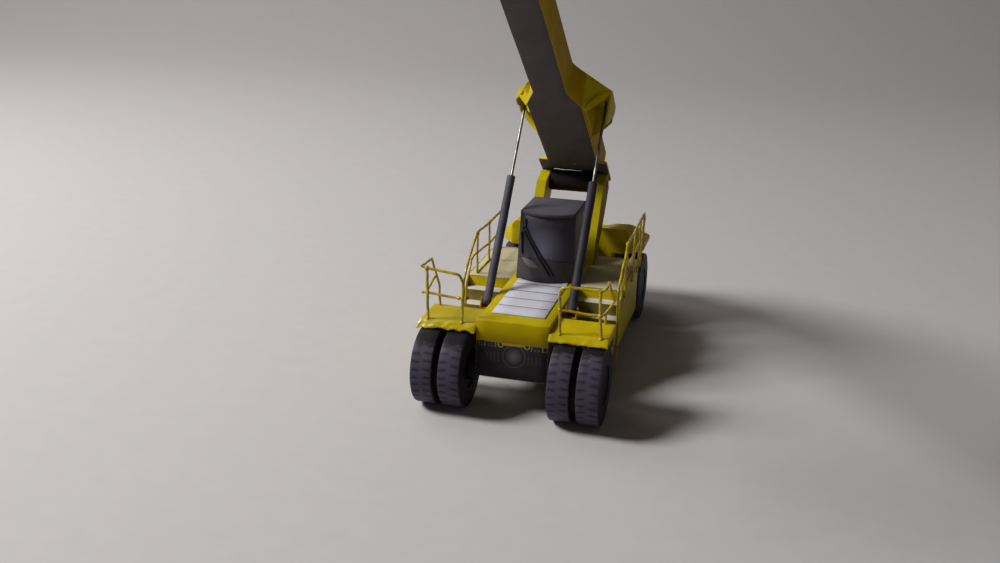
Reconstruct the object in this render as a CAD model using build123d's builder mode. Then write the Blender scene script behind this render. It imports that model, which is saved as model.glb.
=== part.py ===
"""Card and wire scale model of a container reach stacker, 1:50.

+X is the machine's left, -Y its front and +Z up.  The ground is Z = 0, and the
origin lies midway between the spreader's front edge and the tail.  Lengths are
millimetres.  Places along the machine are given from the front axle, rearwards,
and aft() turns them into Y.  Places on the boom are given from its hinge: along
the boom, and above its underside.
"""
from build123d import *

import os
from math import cos, hypot, radians, sin

# ---- stock ---------------------------------------------------------------
CARD = 0.6                  # thickness of one glued card wall
WIRE = 0.5                  # radius of the rails' outer wire
THIN_WIRE = 0.42            # radius of the wires soldered across them
WIRE_SIDES = 8              # sides that stand for a wire's round section
RUNNING_GAP = 0.05          # pin to bore, on the radius
CLEARANCE = 0.3             # between faces that move past each other
SIDES = {"left": 1, "right": -1}

# ---- wheels --------------------------------------------------------------
TYRE_R = 16.7
TYRE_W = 9.2                # one front tyre
REAR_TYRE_W = 10.0
TWIN_GAP = 2.6              # between the two tyres of a front pair
RIM_R = 8.4                 # where the hub fills the tyre
SPACER_R = 13.4             # black drum between twin tyres
HUB_DISH = 0.5              # how far a hub's ends lie inside its tyre's faces
FRONT_TRACK_IN = 18.0       # inner face of the inner front tyre
REAR_TRACK_OUT = 36.4       # outer face of a rear tyre
WHEELBASE = 124.4
SPINDLE_R = 2.0
AXLE_FLANGE_R = 5.0

# ---- centre box and deck ---------------------------------------------------
BOX_HALF = 15.3
BOX_BOTTOM = 14.8
DECK_Z = 39.1
FASCIA_Z = 30.4             # lower edge of the front's upper panel
FASCIA_LEAN = 1.5           # how far the front leans out at its foot
LOUVRE_HALF = 11.4
LOUVRE_START = 7.8
LOUVRE_PITCH = 9.6
LOUVRE_COUNT = 5
LOUVRE_LIP = 0.5            # height of the louvre panel above the deck

# ---- front wings -----------------------------------------------------------
WING_Z = 36.8               # top face
WING_OUT = 39.6
WING_LENGTH = 17.0
WING_NOSE = 3.0             # bent lip ahead of the axle
WING_DROP = 2.3             # how far that lip falls
WING_SKIRT = 2.9            # folded edge at the side

# ---- cab -------------------------------------------------------------------
CAB_FRONT = 54.4            # front corners at the floor
CAB_BULGE = 5.4             # how far the middle stands ahead of the corners
CAB_LEAN = 4.6              # how far the front goes back up to the roof
CAB_HALF = 13.2
CAB_TAPER = 0.5
CAB_ROOF_Z = 67.6
ROOF_T = 1.5
VISOR = 0.6

# ---- stairs, platforms and side panels ---------------------------------------
PLATFORM_Z = 38.6
PLATFORM_START = 53.6
PLATFORM_SHORT = 8.2        # from the platform's end to the rear tyre
PLATFORM_END = WHEELBASE - TYRE_R - PLATFORM_SHORT
STEP_RISE = 5.2
STEP_GO = 5.6
STEP_COUNT = 5
STEP_THICK = 2.6            # depth of the stair slab, square to its slope
PANEL_OUT = 36.3
PANEL_START = 45.0
PANEL_FOOT = 14.0
PANEL_END = PLATFORM_END + 0.8
PANEL_CHIN = 27.5           # height at which the panel's front edge starts to follow the stair

# ---- rails -------------------------------------------------------------------
RAIL_X = 34.4
RAIL_TOP = 58.5
RAIL_MID = 47.6
RAIL_FIRST = PLATFORM_START + 2.4    # post at the head of the stair
RAIL_LAST = PLATFORM_END - 0.9
NEWEL_RUN = 2.8 * STEP_GO   # from that post down to the newel on the stair
NEWEL_DROP = 2.5 * STEP_RISE
WING_RAIL_IN = 21.9
WING_RAIL_OUT = 36.8
WING_RAIL_TOP = 58.0
WING_RAIL_MID = 47.4
WING_RAIL_BACK = 15.8
WING_RAIL_FLARE = 3.4       # how far the back post bows out at mid height

# ---- towers, hood and counterweight --------------------------------------------
TOWER_IN = 11.9
TOWER_OUT = 16.7
TOWER_HEAD_R = 4.9
TOWER_FOOT_FRONT = 30.9     # a tower's corners, from the hinge: forwards and up
TOWER_BROW_RUN = 9.5
TOWER_BROW_RISE = 2.0
TOWER_NAPE_RUN = 6.1        # and rearwards and down
TOWER_NAPE_DROP = 2.8
TOWER_THROAT_RUN = 6.8
TOWER_THROAT_DROP = 17.6
TOWER_FOOT_REAR = 20.2
TAIL_AHEAD = 15.4           # counterweight ahead of the rear axle
TAIL_BEHIND = 27.6
TAIL_START = WHEELBASE - TAIL_AHEAD
TAIL_END = WHEELBASE + TAIL_BEHIND
PIVOT_SETBACK = 5.5         # hinge behind the counterweight's front
PIVOT_Y = TAIL_START + PIVOT_SETBACK
PIVOT_Z = 71.0
PIVOT_PIN_R = 1.5
CAB_TO_PIVOT = 31.5
CAB_BACK = PIVOT_Y - CAB_TO_PIVOT
HOOD_SPACE = 3.0            # between the cab and the hood
HOOD_START = CAB_BACK + HOOD_SPACE
HOOD_HALF = 11.2
HOOD_Z = 47.0
HOOD_CUT = 2.5              # sloping edges of the hood
TAIL_TOP = 50.0
TAIL_DECK = 37.6            # underside of the part over the rear wheels
TAIL_BOTTOM = 11.0
TAIL_HALF = 36.4
TAIL_CORE_HALF = 21.6       # between the rear wheels
TAIL_CHEEK_HALF = 30.0      # front face, and behind the wheels
TAIL_TOP_HALF = 28.0        # flat top between the shoulders, and the rear face
TAIL_FLAT = 11.0            # length of the level top, which then falls to the rear
TAIL_FALL = 10.0            # how far it falls by the rear edge
TAIL_CHEEK_RUN = 9.0        # length of the slanted front corners
TAIL_REAR_RUN = 12.0        # length of the slanted rear corners
SHOULDER_DROP = 7.8         # how far the shoulders fall to the outer edge
WHEEL_ROOM = 1.0            # between a rear tyre and the block behind it
TAIL_FOOT_CUT = 5.0         # sloping lower rear edge

# ---- lift cylinders --------------------------------------------------------------
LIFT_X = 18.8
LIFT_FOOT_Y = 26.9
LIFT_FOOT_Z = 36.8
LIFT_PIN_R = 0.8
BARREL_R = 1.75
BARREL_EYE_R = 2.0
BARREL_EYE_HALF = 1.5
BARREL_LENGTH = 59.6
BARREL_BORE_START = 3.2
ROD_R = 0.62
ROD_HOOK_R = 0.56           # the turned end, drawn a little thinner by the bend
ROD_INSET = 0.2             # spare bore behind the rod when the cylinder is shut
ROD_STROKE_IN = 32.9        # from the rest length down to the shortest

# ---- boom, measured from its hinge -------------------------------------------------
BOOM_ANGLE = 37.36
BOOM_SEAT = 5.3             # hinge axis to the boom's underside
BOOM_HALF = 7.5
BOOM_WIDE = 12.3
BOOM_FOOT_HALF = 16.9
BOOM_H = 15.5
BOOM_TAIL = -7.5
BOOM_FOOT_END = 12.6
FOOT_WING_T = 1.2           # thin plates that widen the underside over the towers
FOOT_BLOCK_HALF = 3.2       # block between the hinge tube and the boom
BOOM_WIDE_END = 69.1
BOOM_TAPER_RUN = 11.0
BOOM_NARROW = BOOM_WIDE_END + BOOM_TAPER_RUN
BOOM_END = 168.0
BOOM_HOLLOW = 28.0          # where the tunnel for the inner boom starts
FOOT_TUBE_R = 4.7
EAR_IN = 20.9
ROD_EYE_ALONG = 47.9
ROD_EYE_ABOVE = 14.2
BRACKET_TOP = 17.3
WEB_LIFT = 14.0             # height of the front web's lower edge at the ear
WEB_BACK = 12.5             # length of the web behind the ear
COLLAR_LENGTH = 7.0
COLLAR_T = 0.9
INNER_HALF = 6.5
INNER_H = 13.4
INNER_START = 70.0
INNER_END = 214.0
HEAD_PIN_ALONG = INNER_END + 9.0
HEAD_PIN_BELOW = 6.0
HEAD_HALF = 5.4
HEAD_EYE_R = 4.3            # head's metal around its pin
HEAD_ROOM = 5.0             # cut between the cheeks, beyond the yoke

# ---- spreader, measured down from the boom's head pin ---------------------------------
YOKE_HALF = 4.3
YOKE_R = 2.6
RING_DROP = 8.0
RING_R = 9.0
RING_T = 2.6
BEAM_DROP = 12.4
BEAM_H = 9.0
BEAM_HALF = 7.0
BEAM_LENGTH = 84.0
ARM_HALF = 4.6
ARM_H = 6.0
LOCK_SPAN_X = 117.0
LOCK_SPAN_Y = 45.2
END_BEAM_HALF = 2.6
LOCK_R = 1.3
LOCK_H = 3.4

RISE = radians(BOOM_ANGLE)


def boom_yz(along, above):
    """Give Y from the front axle, and Z, of a place on the boom."""
    lift = BOOM_SEAT + above
    return (PIVOT_Y - along * cos(RISE) + lift * sin(RISE),
            PIVOT_Z + along * sin(RISE) + lift * cos(RISE))


HEAD_Y, HEAD_Z = boom_yz(HEAD_PIN_ALONG, -HEAD_PIN_BELOW)
SPREADER_HALF_Y = LOCK_SPAN_Y / 2 + END_BEAM_HALF
FRONT_AXLE_Y = -(HEAD_Y - SPREADER_HALF_Y + TAIL_END) / 2


def aft(distance):
    """Give Y for a distance behind the front axle."""
    return FRONT_AXLE_Y + distance


def save(part, name):
    """Label a finished piece and write it as its own STEP file."""
    part.label = name
    export_step(part, f"parts/{name}.step")


def side_plane(x):
    """Give the upright plane at X = x, drawn in Y and Z, facing +X."""
    return Plane.YZ.offset(x)


BOOM_ORIGIN_Y, BOOM_ORIGIN_Z = boom_yz(0, 0)
BOOM_ORIGIN = (0, aft(BOOM_ORIGIN_Y), BOOM_ORIGIN_Z)
BOOM_DIRECTION = (0, -cos(RISE), sin(RISE))
BOOM_PLAN = Plane(origin=BOOM_ORIGIN, x_dir=(-1, 0, 0), z_dir=(0, sin(RISE), cos(RISE)))
BOOM_SIDE = Plane(origin=BOOM_ORIGIN, x_dir=BOOM_DIRECTION, z_dir=(-1, 0, 0))

os.makedirs("parts", exist_ok=True)

# ---- centre box, front panels and deck panel --------------------------------------
with BuildPart() as chassis_box:
    with BuildSketch(Plane.XY.offset(BOX_BOTTOM)):
        with Locations((0, aft(TAIL_START / 2))):
            Rectangle(2 * BOX_HALF, TAIL_START)
    extrude(amount=DECK_Z - BOX_BOTTOM)
save(chassis_box.part, "chassis_box")

# name, lower edge, upper edge; both lie on one leaning sheet in front of the box
FRONT_SHEETS = (("axle_panel", BOX_BOTTOM, FASCIA_Z), ("front_panel", FASCIA_Z, DECK_Z))
for name, low, high in FRONT_SHEETS:
    lean = [CARD + FASCIA_LEAN * (DECK_Z - z) / (DECK_Z - BOX_BOTTOM) for z in (low, high)]
    with BuildPart() as front_sheet:
        with BuildSketch(Plane.YZ):
            with BuildLine():
                Polyline((aft(0), low), (aft(-lean[0]), low), (aft(-lean[1]), high), (aft(0), high),
                         close=True)
            make_face()
        extrude(amount=BOX_HALF, both=True)
    save(front_sheet.part, name)


def cab_outline(front, half):
    """Give the cab's outline as a sketch: three straight walls and a bowed front."""
    with BuildSketch() as outline:
        with BuildLine():
            Line((half, aft(front)), (half, aft(CAB_BACK)))
            Line((half, aft(CAB_BACK)), (-half, aft(CAB_BACK)))
            Line((-half, aft(CAB_BACK)), (-half, aft(front)))
            ThreePointArc((-half, aft(front)), (0, aft(front - CAB_BULGE)), (half, aft(front)))
        make_face()
    return outline.sketch


with BuildPart() as deck_louvre:
    with BuildSketch(Plane.XY.offset(DECK_Z)):
        with Locations((0, aft((LOUVRE_START + CAB_FRONT) / 2))):
            Rectangle(2 * LOUVRE_HALF, CAB_FRONT - LOUVRE_START)
        add(cab_outline(CAB_FRONT, CAB_HALF), mode=Mode.SUBTRACT)
    extrude(amount=LOUVRE_LIP)
    with BuildSketch(Plane.XY.offset(DECK_Z + LOUVRE_LIP)):
        with Locations(*[(0, aft(LOUVRE_START + LOUVRE_PITCH * step)) for step in range(1, LOUVRE_COUNT)]):
            Rectangle(2 * LOUVRE_HALF, LOUVRE_LIP)
    extrude(amount=-LOUVRE_LIP / 2, mode=Mode.SUBTRACT)
save(deck_louvre.part, "deck_louvre")

# ---- cab ----------------------------------------------------------------------------
CAB_H = CAB_ROOF_Z - DECK_Z
with BuildPart() as cab_body:
    with BuildSketch(Plane.XY.offset(DECK_Z)):
        add(cab_outline(CAB_FRONT, CAB_HALF))
    extrude(amount=hypot(CAB_LEAN, CAB_H), dir=(0, CAB_LEAN, CAB_H))
    # the back stands upright, and the sides draw in towards the roof
    with BuildSketch(Plane.XZ.offset(-aft(CAB_BACK))):
        with BuildLine():
            Polyline((-CAB_HALF, DECK_Z), (CAB_HALF, DECK_Z), (CAB_HALF - CAB_TAPER, CAB_ROOF_Z),
                     (CAB_TAPER - CAB_HALF, CAB_ROOF_Z), close=True)
        make_face()
    extrude(amount=CAB_BACK - CAB_FRONT + CAB_BULGE, mode=Mode.INTERSECT)
save(cab_body.part, "cab_body")

with BuildPart() as cab_roof:
    with BuildSketch(Plane.XY.offset(CAB_ROOF_Z)):
        add(cab_outline(CAB_FRONT + CAB_LEAN - VISOR, CAB_HALF - CAB_TAPER))
    extrude(amount=ROOF_T)
    chamfer(cab_roof.faces().sort_by(Axis.Z)[-1].edges(), length=ROOF_T / 3)
save(cab_roof.part, "cab_roof")

# ---- wings, stairs, platforms and side panels ------------------------------------------
for name, side in SIDES.items():
    with BuildPart() as wing:
        with BuildSketch(side_plane(side * BOX_HALF)):
            with BuildLine():
                Polyline(
                    (aft(WING_LENGTH), WING_Z), (aft(0), WING_Z), (aft(-WING_NOSE), WING_Z - WING_DROP),
                    (aft(-WING_NOSE), WING_Z - WING_DROP - CARD), (aft(0), WING_Z - CARD),
                    (aft(WING_LENGTH), WING_Z - CARD), close=True,
                )
            make_face()
        extrude(amount=side * (WING_OUT - BOX_HALF))
        with BuildSketch(side_plane(side * WING_OUT)):
            with Locations((aft(WING_LENGTH / 2), WING_Z - WING_SKIRT / 2)):
                Rectangle(WING_LENGTH, WING_SKIRT)
        extrude(amount=-side * CARD / 2)
    save(wing.part, f"wing_{name}")

    # riser below the platform's edge, treads and risers down to the foot, then the sloping underside
    treads = []
    for step in range(1, STEP_COUNT + 1):
        edge_y = aft(PLATFORM_START - STEP_GO * (step - 1))
        tread_z = PLATFORM_Z - STEP_RISE * step
        treads += [(edge_y, tread_z), (edge_y - STEP_GO, tread_z)]
    foot_y, foot_z = treads[-1]
    slope = STEP_RISE / STEP_GO
    slab_drop = STEP_THICK * hypot(STEP_RISE, STEP_GO) / STEP_GO
    riser_z = PLATFORM_Z - CARD
    with BuildPart() as stair:
        with BuildSketch(side_plane(side * BOX_HALF)):
            with BuildLine():
                Polyline((aft(PLATFORM_START + CARD), riser_z), (aft(PLATFORM_START), riser_z), *treads,
                         (foot_y, foot_z - CARD),
                         (foot_y + STEP_GO + (slab_drop - CARD) / slope, foot_z - CARD),
                         (aft(PLATFORM_START + CARD), PLATFORM_Z - STEP_RISE - slab_drop + CARD * slope),
                         close=True)
            make_face()
        extrude(amount=side * (PANEL_OUT - CARD - BOX_HALF))
    save(stair.part, f"stair_{name}")

    with BuildPart() as platform:
        with BuildSketch(Plane.XY.offset(PLATFORM_Z - CARD)):
            middle_x = side * (BOX_HALF + PANEL_OUT - CARD) / 2
            with Locations((middle_x, aft((PLATFORM_START + PLATFORM_END) / 2))):
                Rectangle(PANEL_OUT - CARD - BOX_HALF, PLATFORM_END - PLATFORM_START)
        extrude(amount=CARD)
    save(platform.part, f"platform_{name}")

    with BuildPart() as side_panel:
        with BuildSketch(side_plane(side * PANEL_OUT)):
            with BuildLine():
                Polyline(
                    (aft(PANEL_START), BOX_BOTTOM), (aft(PANEL_START), PANEL_CHIN),
                    (aft(PLATFORM_START), PLATFORM_Z), (aft(PANEL_END), PLATFORM_Z),
                    (aft(PANEL_END), PANEL_FOOT - 2 * CARD), (aft(PANEL_START + STEP_GO), PANEL_FOOT),
                    close=True,
                )
            make_face()
        extrude(amount=-side * CARD)
    save(side_panel.part, f"side_panel_{name}")


def wire_run(*points, bend=0.0, radius=WIRE):
    """Give a wire swept along straight runs joined by bends of one radius."""
    with BuildPart() as wire:
        with BuildLine() as run:
            if len(points) > 2:
                FilletPolyline(*points, radius=bend)
            else:
                Line(*points)
        with BuildSketch(Plane(origin=run.line @ 0, z_dir=run.line % 0)):
            RegularPolygon(radius, WIRE_SIDES, rotation=180 / WIRE_SIDES)
        sweep(path=run.line)
    return wire.part


# ---- rails: bent wire, its runs soldered where they cross --------------------------------
WING_BEND = 2.6
STAIR_BEND = 3.4
for name, side in SIDES.items():
    with BuildPart() as wing_rail:
        outer = side * WING_RAIL_OUT
        inner = side * WING_RAIL_IN
        back = side * (WING_RAIL_OUT + WING_RAIL_FLARE / 2)
        shoulder_z = WING_RAIL_TOP - WING_BEND
        add(wire_run((outer, aft(0), WING_Z), (outer, aft(0), WING_RAIL_TOP),
                     (inner, aft(0), WING_RAIL_TOP), (inner, aft(0), WING_Z), bend=WING_BEND))
        add(wire_run((outer, aft(0), WING_RAIL_MID), (inner, aft(0), WING_RAIL_MID), radius=THIN_WIRE))
        add(wire_run((outer, aft(0), shoulder_z), (back, aft(WING_RAIL_BACK), shoulder_z),
                     (outer, aft(WING_RAIL_BACK), WING_Z), bend=WING_BEND, radius=THIN_WIRE))
        add(wire_run((outer, aft(0), WING_RAIL_MID), (outer, aft(WING_RAIL_BACK), WING_RAIL_MID),
                     radius=THIN_WIRE * 0.8))
    save(wing_rail.part, f"wing_rail_{name}")

    with BuildPart() as deck_rail:
        x = side * RAIL_X
        newel = RAIL_FIRST - NEWEL_RUN
        newel_foot = PLATFORM_Z - 3 * STEP_RISE
        add(wire_run((x, aft(RAIL_LAST), PLATFORM_Z), (x, aft(RAIL_LAST), RAIL_TOP),
                     (x, aft(RAIL_FIRST), RAIL_TOP), (x, aft(newel), RAIL_TOP - NEWEL_DROP),
                     (x, aft(newel), newel_foot), bend=STAIR_BEND))
        add(wire_run((x, aft(RAIL_LAST), RAIL_MID), (x, aft(RAIL_FIRST), RAIL_MID),
                     (x, aft(newel), RAIL_MID - NEWEL_DROP), bend=STAIR_BEND, radius=THIN_WIRE))
        for post in (RAIL_FIRST, (RAIL_FIRST + RAIL_LAST) / 2):
            add(wire_run((x, aft(post), PLATFORM_Z), (x, aft(post), RAIL_TOP), radius=THIN_WIRE))
    save(deck_rail.part, f"deck_rail_{name}")

# ---- towers, hinge pin, hood and counterweight ----------------------------------------------
# front edge and rear edge of a tower, as distances behind the front axle and heights
TOWER_FRONT = ((PIVOT_Y - TOWER_FOOT_FRONT, DECK_Z),
               (PIVOT_Y - TOWER_BROW_RUN, PIVOT_Z + TOWER_BROW_RISE))
TOWER_REAR = ((PIVOT_Y + TOWER_NAPE_RUN, PIVOT_Z - TOWER_NAPE_DROP),
              (PIVOT_Y - TOWER_THROAT_RUN, PIVOT_Z - TOWER_THROAT_DROP),
              (PIVOT_Y - TOWER_FOOT_REAR, DECK_Z))
for name, side in SIDES.items():
    with BuildPart() as tower:
        with BuildSketch(side_plane(side * TOWER_IN)):
            with BuildLine():
                Polyline(*[(aft(y), z) for y, z in TOWER_FRONT],
                         (aft(PIVOT_Y), PIVOT_Z + TOWER_HEAD_R), (aft(PIVOT_Y + TOWER_HEAD_R), PIVOT_Z),
                         *[(aft(y), z) for y, z in TOWER_REAR], close=True)
            make_face()
            with Locations((aft(PIVOT_Y), PIVOT_Z)):
                Circle(TOWER_HEAD_R)
                Circle(PIVOT_PIN_R + RUNNING_GAP, mode=Mode.SUBTRACT)
        extrude(amount=side * (TOWER_OUT - TOWER_IN))
    save(tower.part, f"tower_{name}")

with BuildPart() as hinge_pin:
    with BuildSketch(Plane.YZ):
        with Locations((aft(PIVOT_Y), PIVOT_Z)):
            Circle(PIVOT_PIN_R)
    extrude(amount=TOWER_OUT + CARD, both=True)
save(hinge_pin.part, "hinge_pin")

with BuildPart() as engine_hood:
    with BuildSketch(Plane.XY.offset(DECK_Z)):
        with Locations((0, aft((HOOD_START + TAIL_START) / 2))):
            Rectangle(2 * HOOD_HALF, TAIL_START - HOOD_START)
    extrude(amount=HOOD_Z - DECK_Z)
    chamfer(engine_hood.edges().filter_by(Axis.Y).sort_by(Axis.Z)[-2:], length=HOOD_CUT)
save(engine_hood.part, "engine_hood")

with BuildPart() as counterweight:
    # upper slab, over the rear wheels
    with BuildSketch(Plane.XY.offset(TAIL_DECK)):
        with BuildLine():
            Polyline((0, aft(TAIL_START)), (TAIL_CHEEK_HALF, aft(TAIL_START)),
                     (TAIL_HALF, aft(TAIL_START + TAIL_CHEEK_RUN)),
                     (TAIL_HALF, aft(TAIL_END - TAIL_REAR_RUN)),
                     (TAIL_TOP_HALF, aft(TAIL_END)), (0, aft(TAIL_END)))
            mirror(about=Plane.YZ)
        make_face()
    extrude(amount=TAIL_TOP - TAIL_DECK)
    # sloping shoulders, cut a little past the slab's outer face
    for side in SIDES.values():
        past = TAIL_HALF + CARD
        fall = SHOULDER_DROP * (past - TAIL_TOP_HALF) / (TAIL_HALF - TAIL_TOP_HALF)
        with BuildSketch(Plane.XZ.offset(-aft(TAIL_START))):
            with BuildLine():
                Polyline((side * TAIL_TOP_HALF, TAIL_TOP), (side * past, TAIL_TOP),
                         (side * past, TAIL_TOP - fall), close=True)
            make_face()
        extrude(amount=-(TAIL_END - TAIL_START), mode=Mode.SUBTRACT)
    # behind its level part the top falls to the rear edge
    with BuildSketch(Plane.YZ):
        with BuildLine():
            Polyline((aft(TAIL_START + TAIL_FLAT), TAIL_TOP), (aft(TAIL_END), TAIL_TOP),
                     (aft(TAIL_END), TAIL_TOP - TAIL_FALL), close=True)
        make_face()
    extrude(amount=TAIL_HALF, both=True, mode=Mode.SUBTRACT)
    # block between the wheels, and the tail behind them
    wheels_end = WHEELBASE + TYRE_R + WHEEL_ROOM
    with BuildSketch(Plane.XY.offset(TAIL_BOTTOM)):
        with BuildLine():
            Polyline((0, aft(TAIL_START)), (TAIL_CORE_HALF, aft(TAIL_START)),
                     (TAIL_CORE_HALF, aft(wheels_end)), (TAIL_CHEEK_HALF, aft(wheels_end)),
                     (TAIL_TOP_HALF, aft(TAIL_END)), (0, aft(TAIL_END)))
            mirror(about=Plane.YZ)
        make_face()
    extrude(amount=TAIL_DECK - TAIL_BOTTOM)
    lowest = counterweight.edges().filter_by(Axis.X).group_by(Axis.Z)[0]
    chamfer(lowest.sort_by(Axis.Y)[-1], length=TAIL_FOOT_CUT)
save(counterweight.part, "counterweight")

# ---- axle stubs and wheels ------------------------------------------------------------------
TWIN_WIDTH = 2 * TYRE_W + TWIN_GAP
# set, distance aft, mounting face, inner tyre face, overall width, tyre width
WHEEL_SETS = (
    ("front", 0.0, BOX_HALF, FRONT_TRACK_IN, TWIN_WIDTH, TYRE_W),
    ("rear", WHEELBASE, TAIL_CORE_HALF, REAR_TRACK_OUT - REAR_TYRE_W, REAR_TYRE_W, REAR_TYRE_W),
)
for wheel_set, distance, mount_x, inner_x, width, tyre_width in WHEEL_SETS:
    with BuildPart() as axle:
        for side in SIDES.values():
            with BuildSketch(side_plane(side * mount_x)):
                with Locations((aft(distance), TYRE_R)):
                    Circle(AXLE_FLANGE_R)
            extrude(amount=side * (inner_x + HUB_DISH - CLEARANCE - mount_x))
            with BuildSketch(side_plane(side * mount_x)):
                with Locations((aft(distance), TYRE_R)):
                    Circle(SPINDLE_R)
            extrude(amount=side * (inner_x + width - 2 * HUB_DISH - CARD - mount_x))
    save(axle.part, f"{wheel_set}_axle")

    for name, side in SIDES.items():
        wheel_axis = Axis((0, aft(distance), TYRE_R), (1, 0, 0))
        tyre_count = round((width + TWIN_GAP) / (tyre_width + TWIN_GAP))
        starts = [inner_x + k * (tyre_width + TWIN_GAP) for k in range(tyre_count)]
        with BuildPart() as tyres:
            with BuildSketch(Plane.XY.offset(TYRE_R)):
                near, far = aft(distance) + RIM_R + RUNNING_GAP, aft(distance) + TYRE_R
                for start in starts:
                    with Locations((side * (start + tyre_width / 2), (near + far) / 2)):
                        Rectangle(tyre_width, far - near)
            revolve(axis=wheel_axis)
        save(tyres.part, f"{wheel_set}_tyre_{name}")

        with BuildPart() as hub:
            with BuildSketch(side_plane(side * (inner_x + HUB_DISH))):
                with Locations((aft(distance), TYRE_R)):
                    Circle(RIM_R)
            extrude(amount=side * (width - 2 * HUB_DISH))
            if len(starts) > 1:
                with BuildSketch(side_plane(side * (inner_x + tyre_width + RUNNING_GAP))):
                    with Locations((aft(distance), TYRE_R)):
                        Circle(SPACER_R)
                extrude(amount=side * (TWIN_GAP - 2 * RUNNING_GAP))
            with BuildSketch(side_plane(side * (inner_x + HUB_DISH))):
                with Locations((aft(distance), TYRE_R)):
                    Circle(SPINDLE_R + RUNNING_GAP)
            extrude(amount=side * (width - 2 * HUB_DISH - CARD), mode=Mode.SUBTRACT)
        save(hub.part, f"{wheel_set}_hub_{name}")

# ---- boom ------------------------------------------------------------------------------------
with BuildPart() as boom_outer:
    with BuildSketch(BOOM_PLAN):
        with BuildLine():
            Polyline((0, BOOM_TAIL), (BOOM_WIDE, BOOM_TAIL), (BOOM_WIDE, BOOM_WIDE_END),
                     (BOOM_HALF, BOOM_NARROW), (BOOM_HALF, BOOM_END), (0, BOOM_END))
            mirror(about=Plane.YZ)
        make_face()
    extrude(amount=BOOM_H)
    with BuildSketch(BOOM_PLAN):
        with Locations((0, (BOOM_TAIL + BOOM_FOOT_END) / 2)):
            Rectangle(2 * BOOM_FOOT_HALF, BOOM_FOOT_END - BOOM_TAIL)
    extrude(amount=FOOT_WING_T)
    with BuildSketch(BOOM_PLAN.offset(BOOM_H / 2 - INNER_H / 2 - CLEARANCE)):
        with Locations((0, (BOOM_HOLLOW + BOOM_END) / 2)):
            Rectangle(2 * (INNER_HALF + CLEARANCE), BOOM_END - BOOM_HOLLOW)
    extrude(amount=INNER_H + 2 * CLEARANCE, mode=Mode.SUBTRACT)
save(boom_outer.part, "boom_outer")

with BuildPart() as boom_collar:
    with BuildSketch(Plane(origin=BOOM_SIDE.from_local_coords((BOOM_END - COLLAR_LENGTH, BOOM_H / 2, 0)),
                           x_dir=(1, 0, 0), z_dir=BOOM_DIRECTION)):
        Rectangle(2 * (BOOM_HALF + COLLAR_T), BOOM_H + 2 * COLLAR_T)
        Rectangle(2 * BOOM_HALF, BOOM_H, mode=Mode.SUBTRACT)
    extrude(amount=COLLAR_LENGTH)
save(boom_collar.part, "boom_collar")

with BuildPart() as boom_foot:
    with BuildSketch(BOOM_SIDE):
        with Locations((0, -BOOM_SEAT)):
            Circle(FOOT_TUBE_R)
        with Locations((0, -BOOM_SEAT / 2)):
            Rectangle(2 * FOOT_BLOCK_HALF, BOOM_SEAT)
        with Locations((0, -BOOM_SEAT)):
            Circle(PIVOT_PIN_R + RUNNING_GAP, mode=Mode.SUBTRACT)
    extrude(amount=TOWER_IN - CLEARANCE, both=True)
save(boom_foot.part, "boom_foot")

# contour of the ear that holds the rod's end: along the boom, above its underside
EAR_FRONT = ROD_EYE_ALONG + 8.6
BRACKET_BACK = ROD_EYE_ALONG - 10.4
EAR_REAR = 3.8              # depth of the ear's rear edge and of the web behind it
EAR = ((EAR_FRONT, BRACKET_TOP), (BRACKET_BACK, BRACKET_TOP), (BRACKET_BACK, BRACKET_TOP - EAR_REAR),
       (ROD_EYE_ALONG + 0.5, 4.2), (ROD_EYE_ALONG + 4.6, 1.2), (EAR_FRONT, 3.6))
TAPER = (BOOM_WIDE - BOOM_HALF) / (BOOM_NARROW - BOOM_WIDE_END)
WEB_FOOT_X = BOOM_WIDE + TAPER * (BOOM_WIDE_END - EAR_FRONT)
BOOM_FRONT_PLANE = Plane(origin=BOOM_SIDE.from_local_coords((BOOM_NARROW, 0, 0)),
                         x_dir=(1, 0, 0), z_dir=BOOM_DIRECTION)
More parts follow.
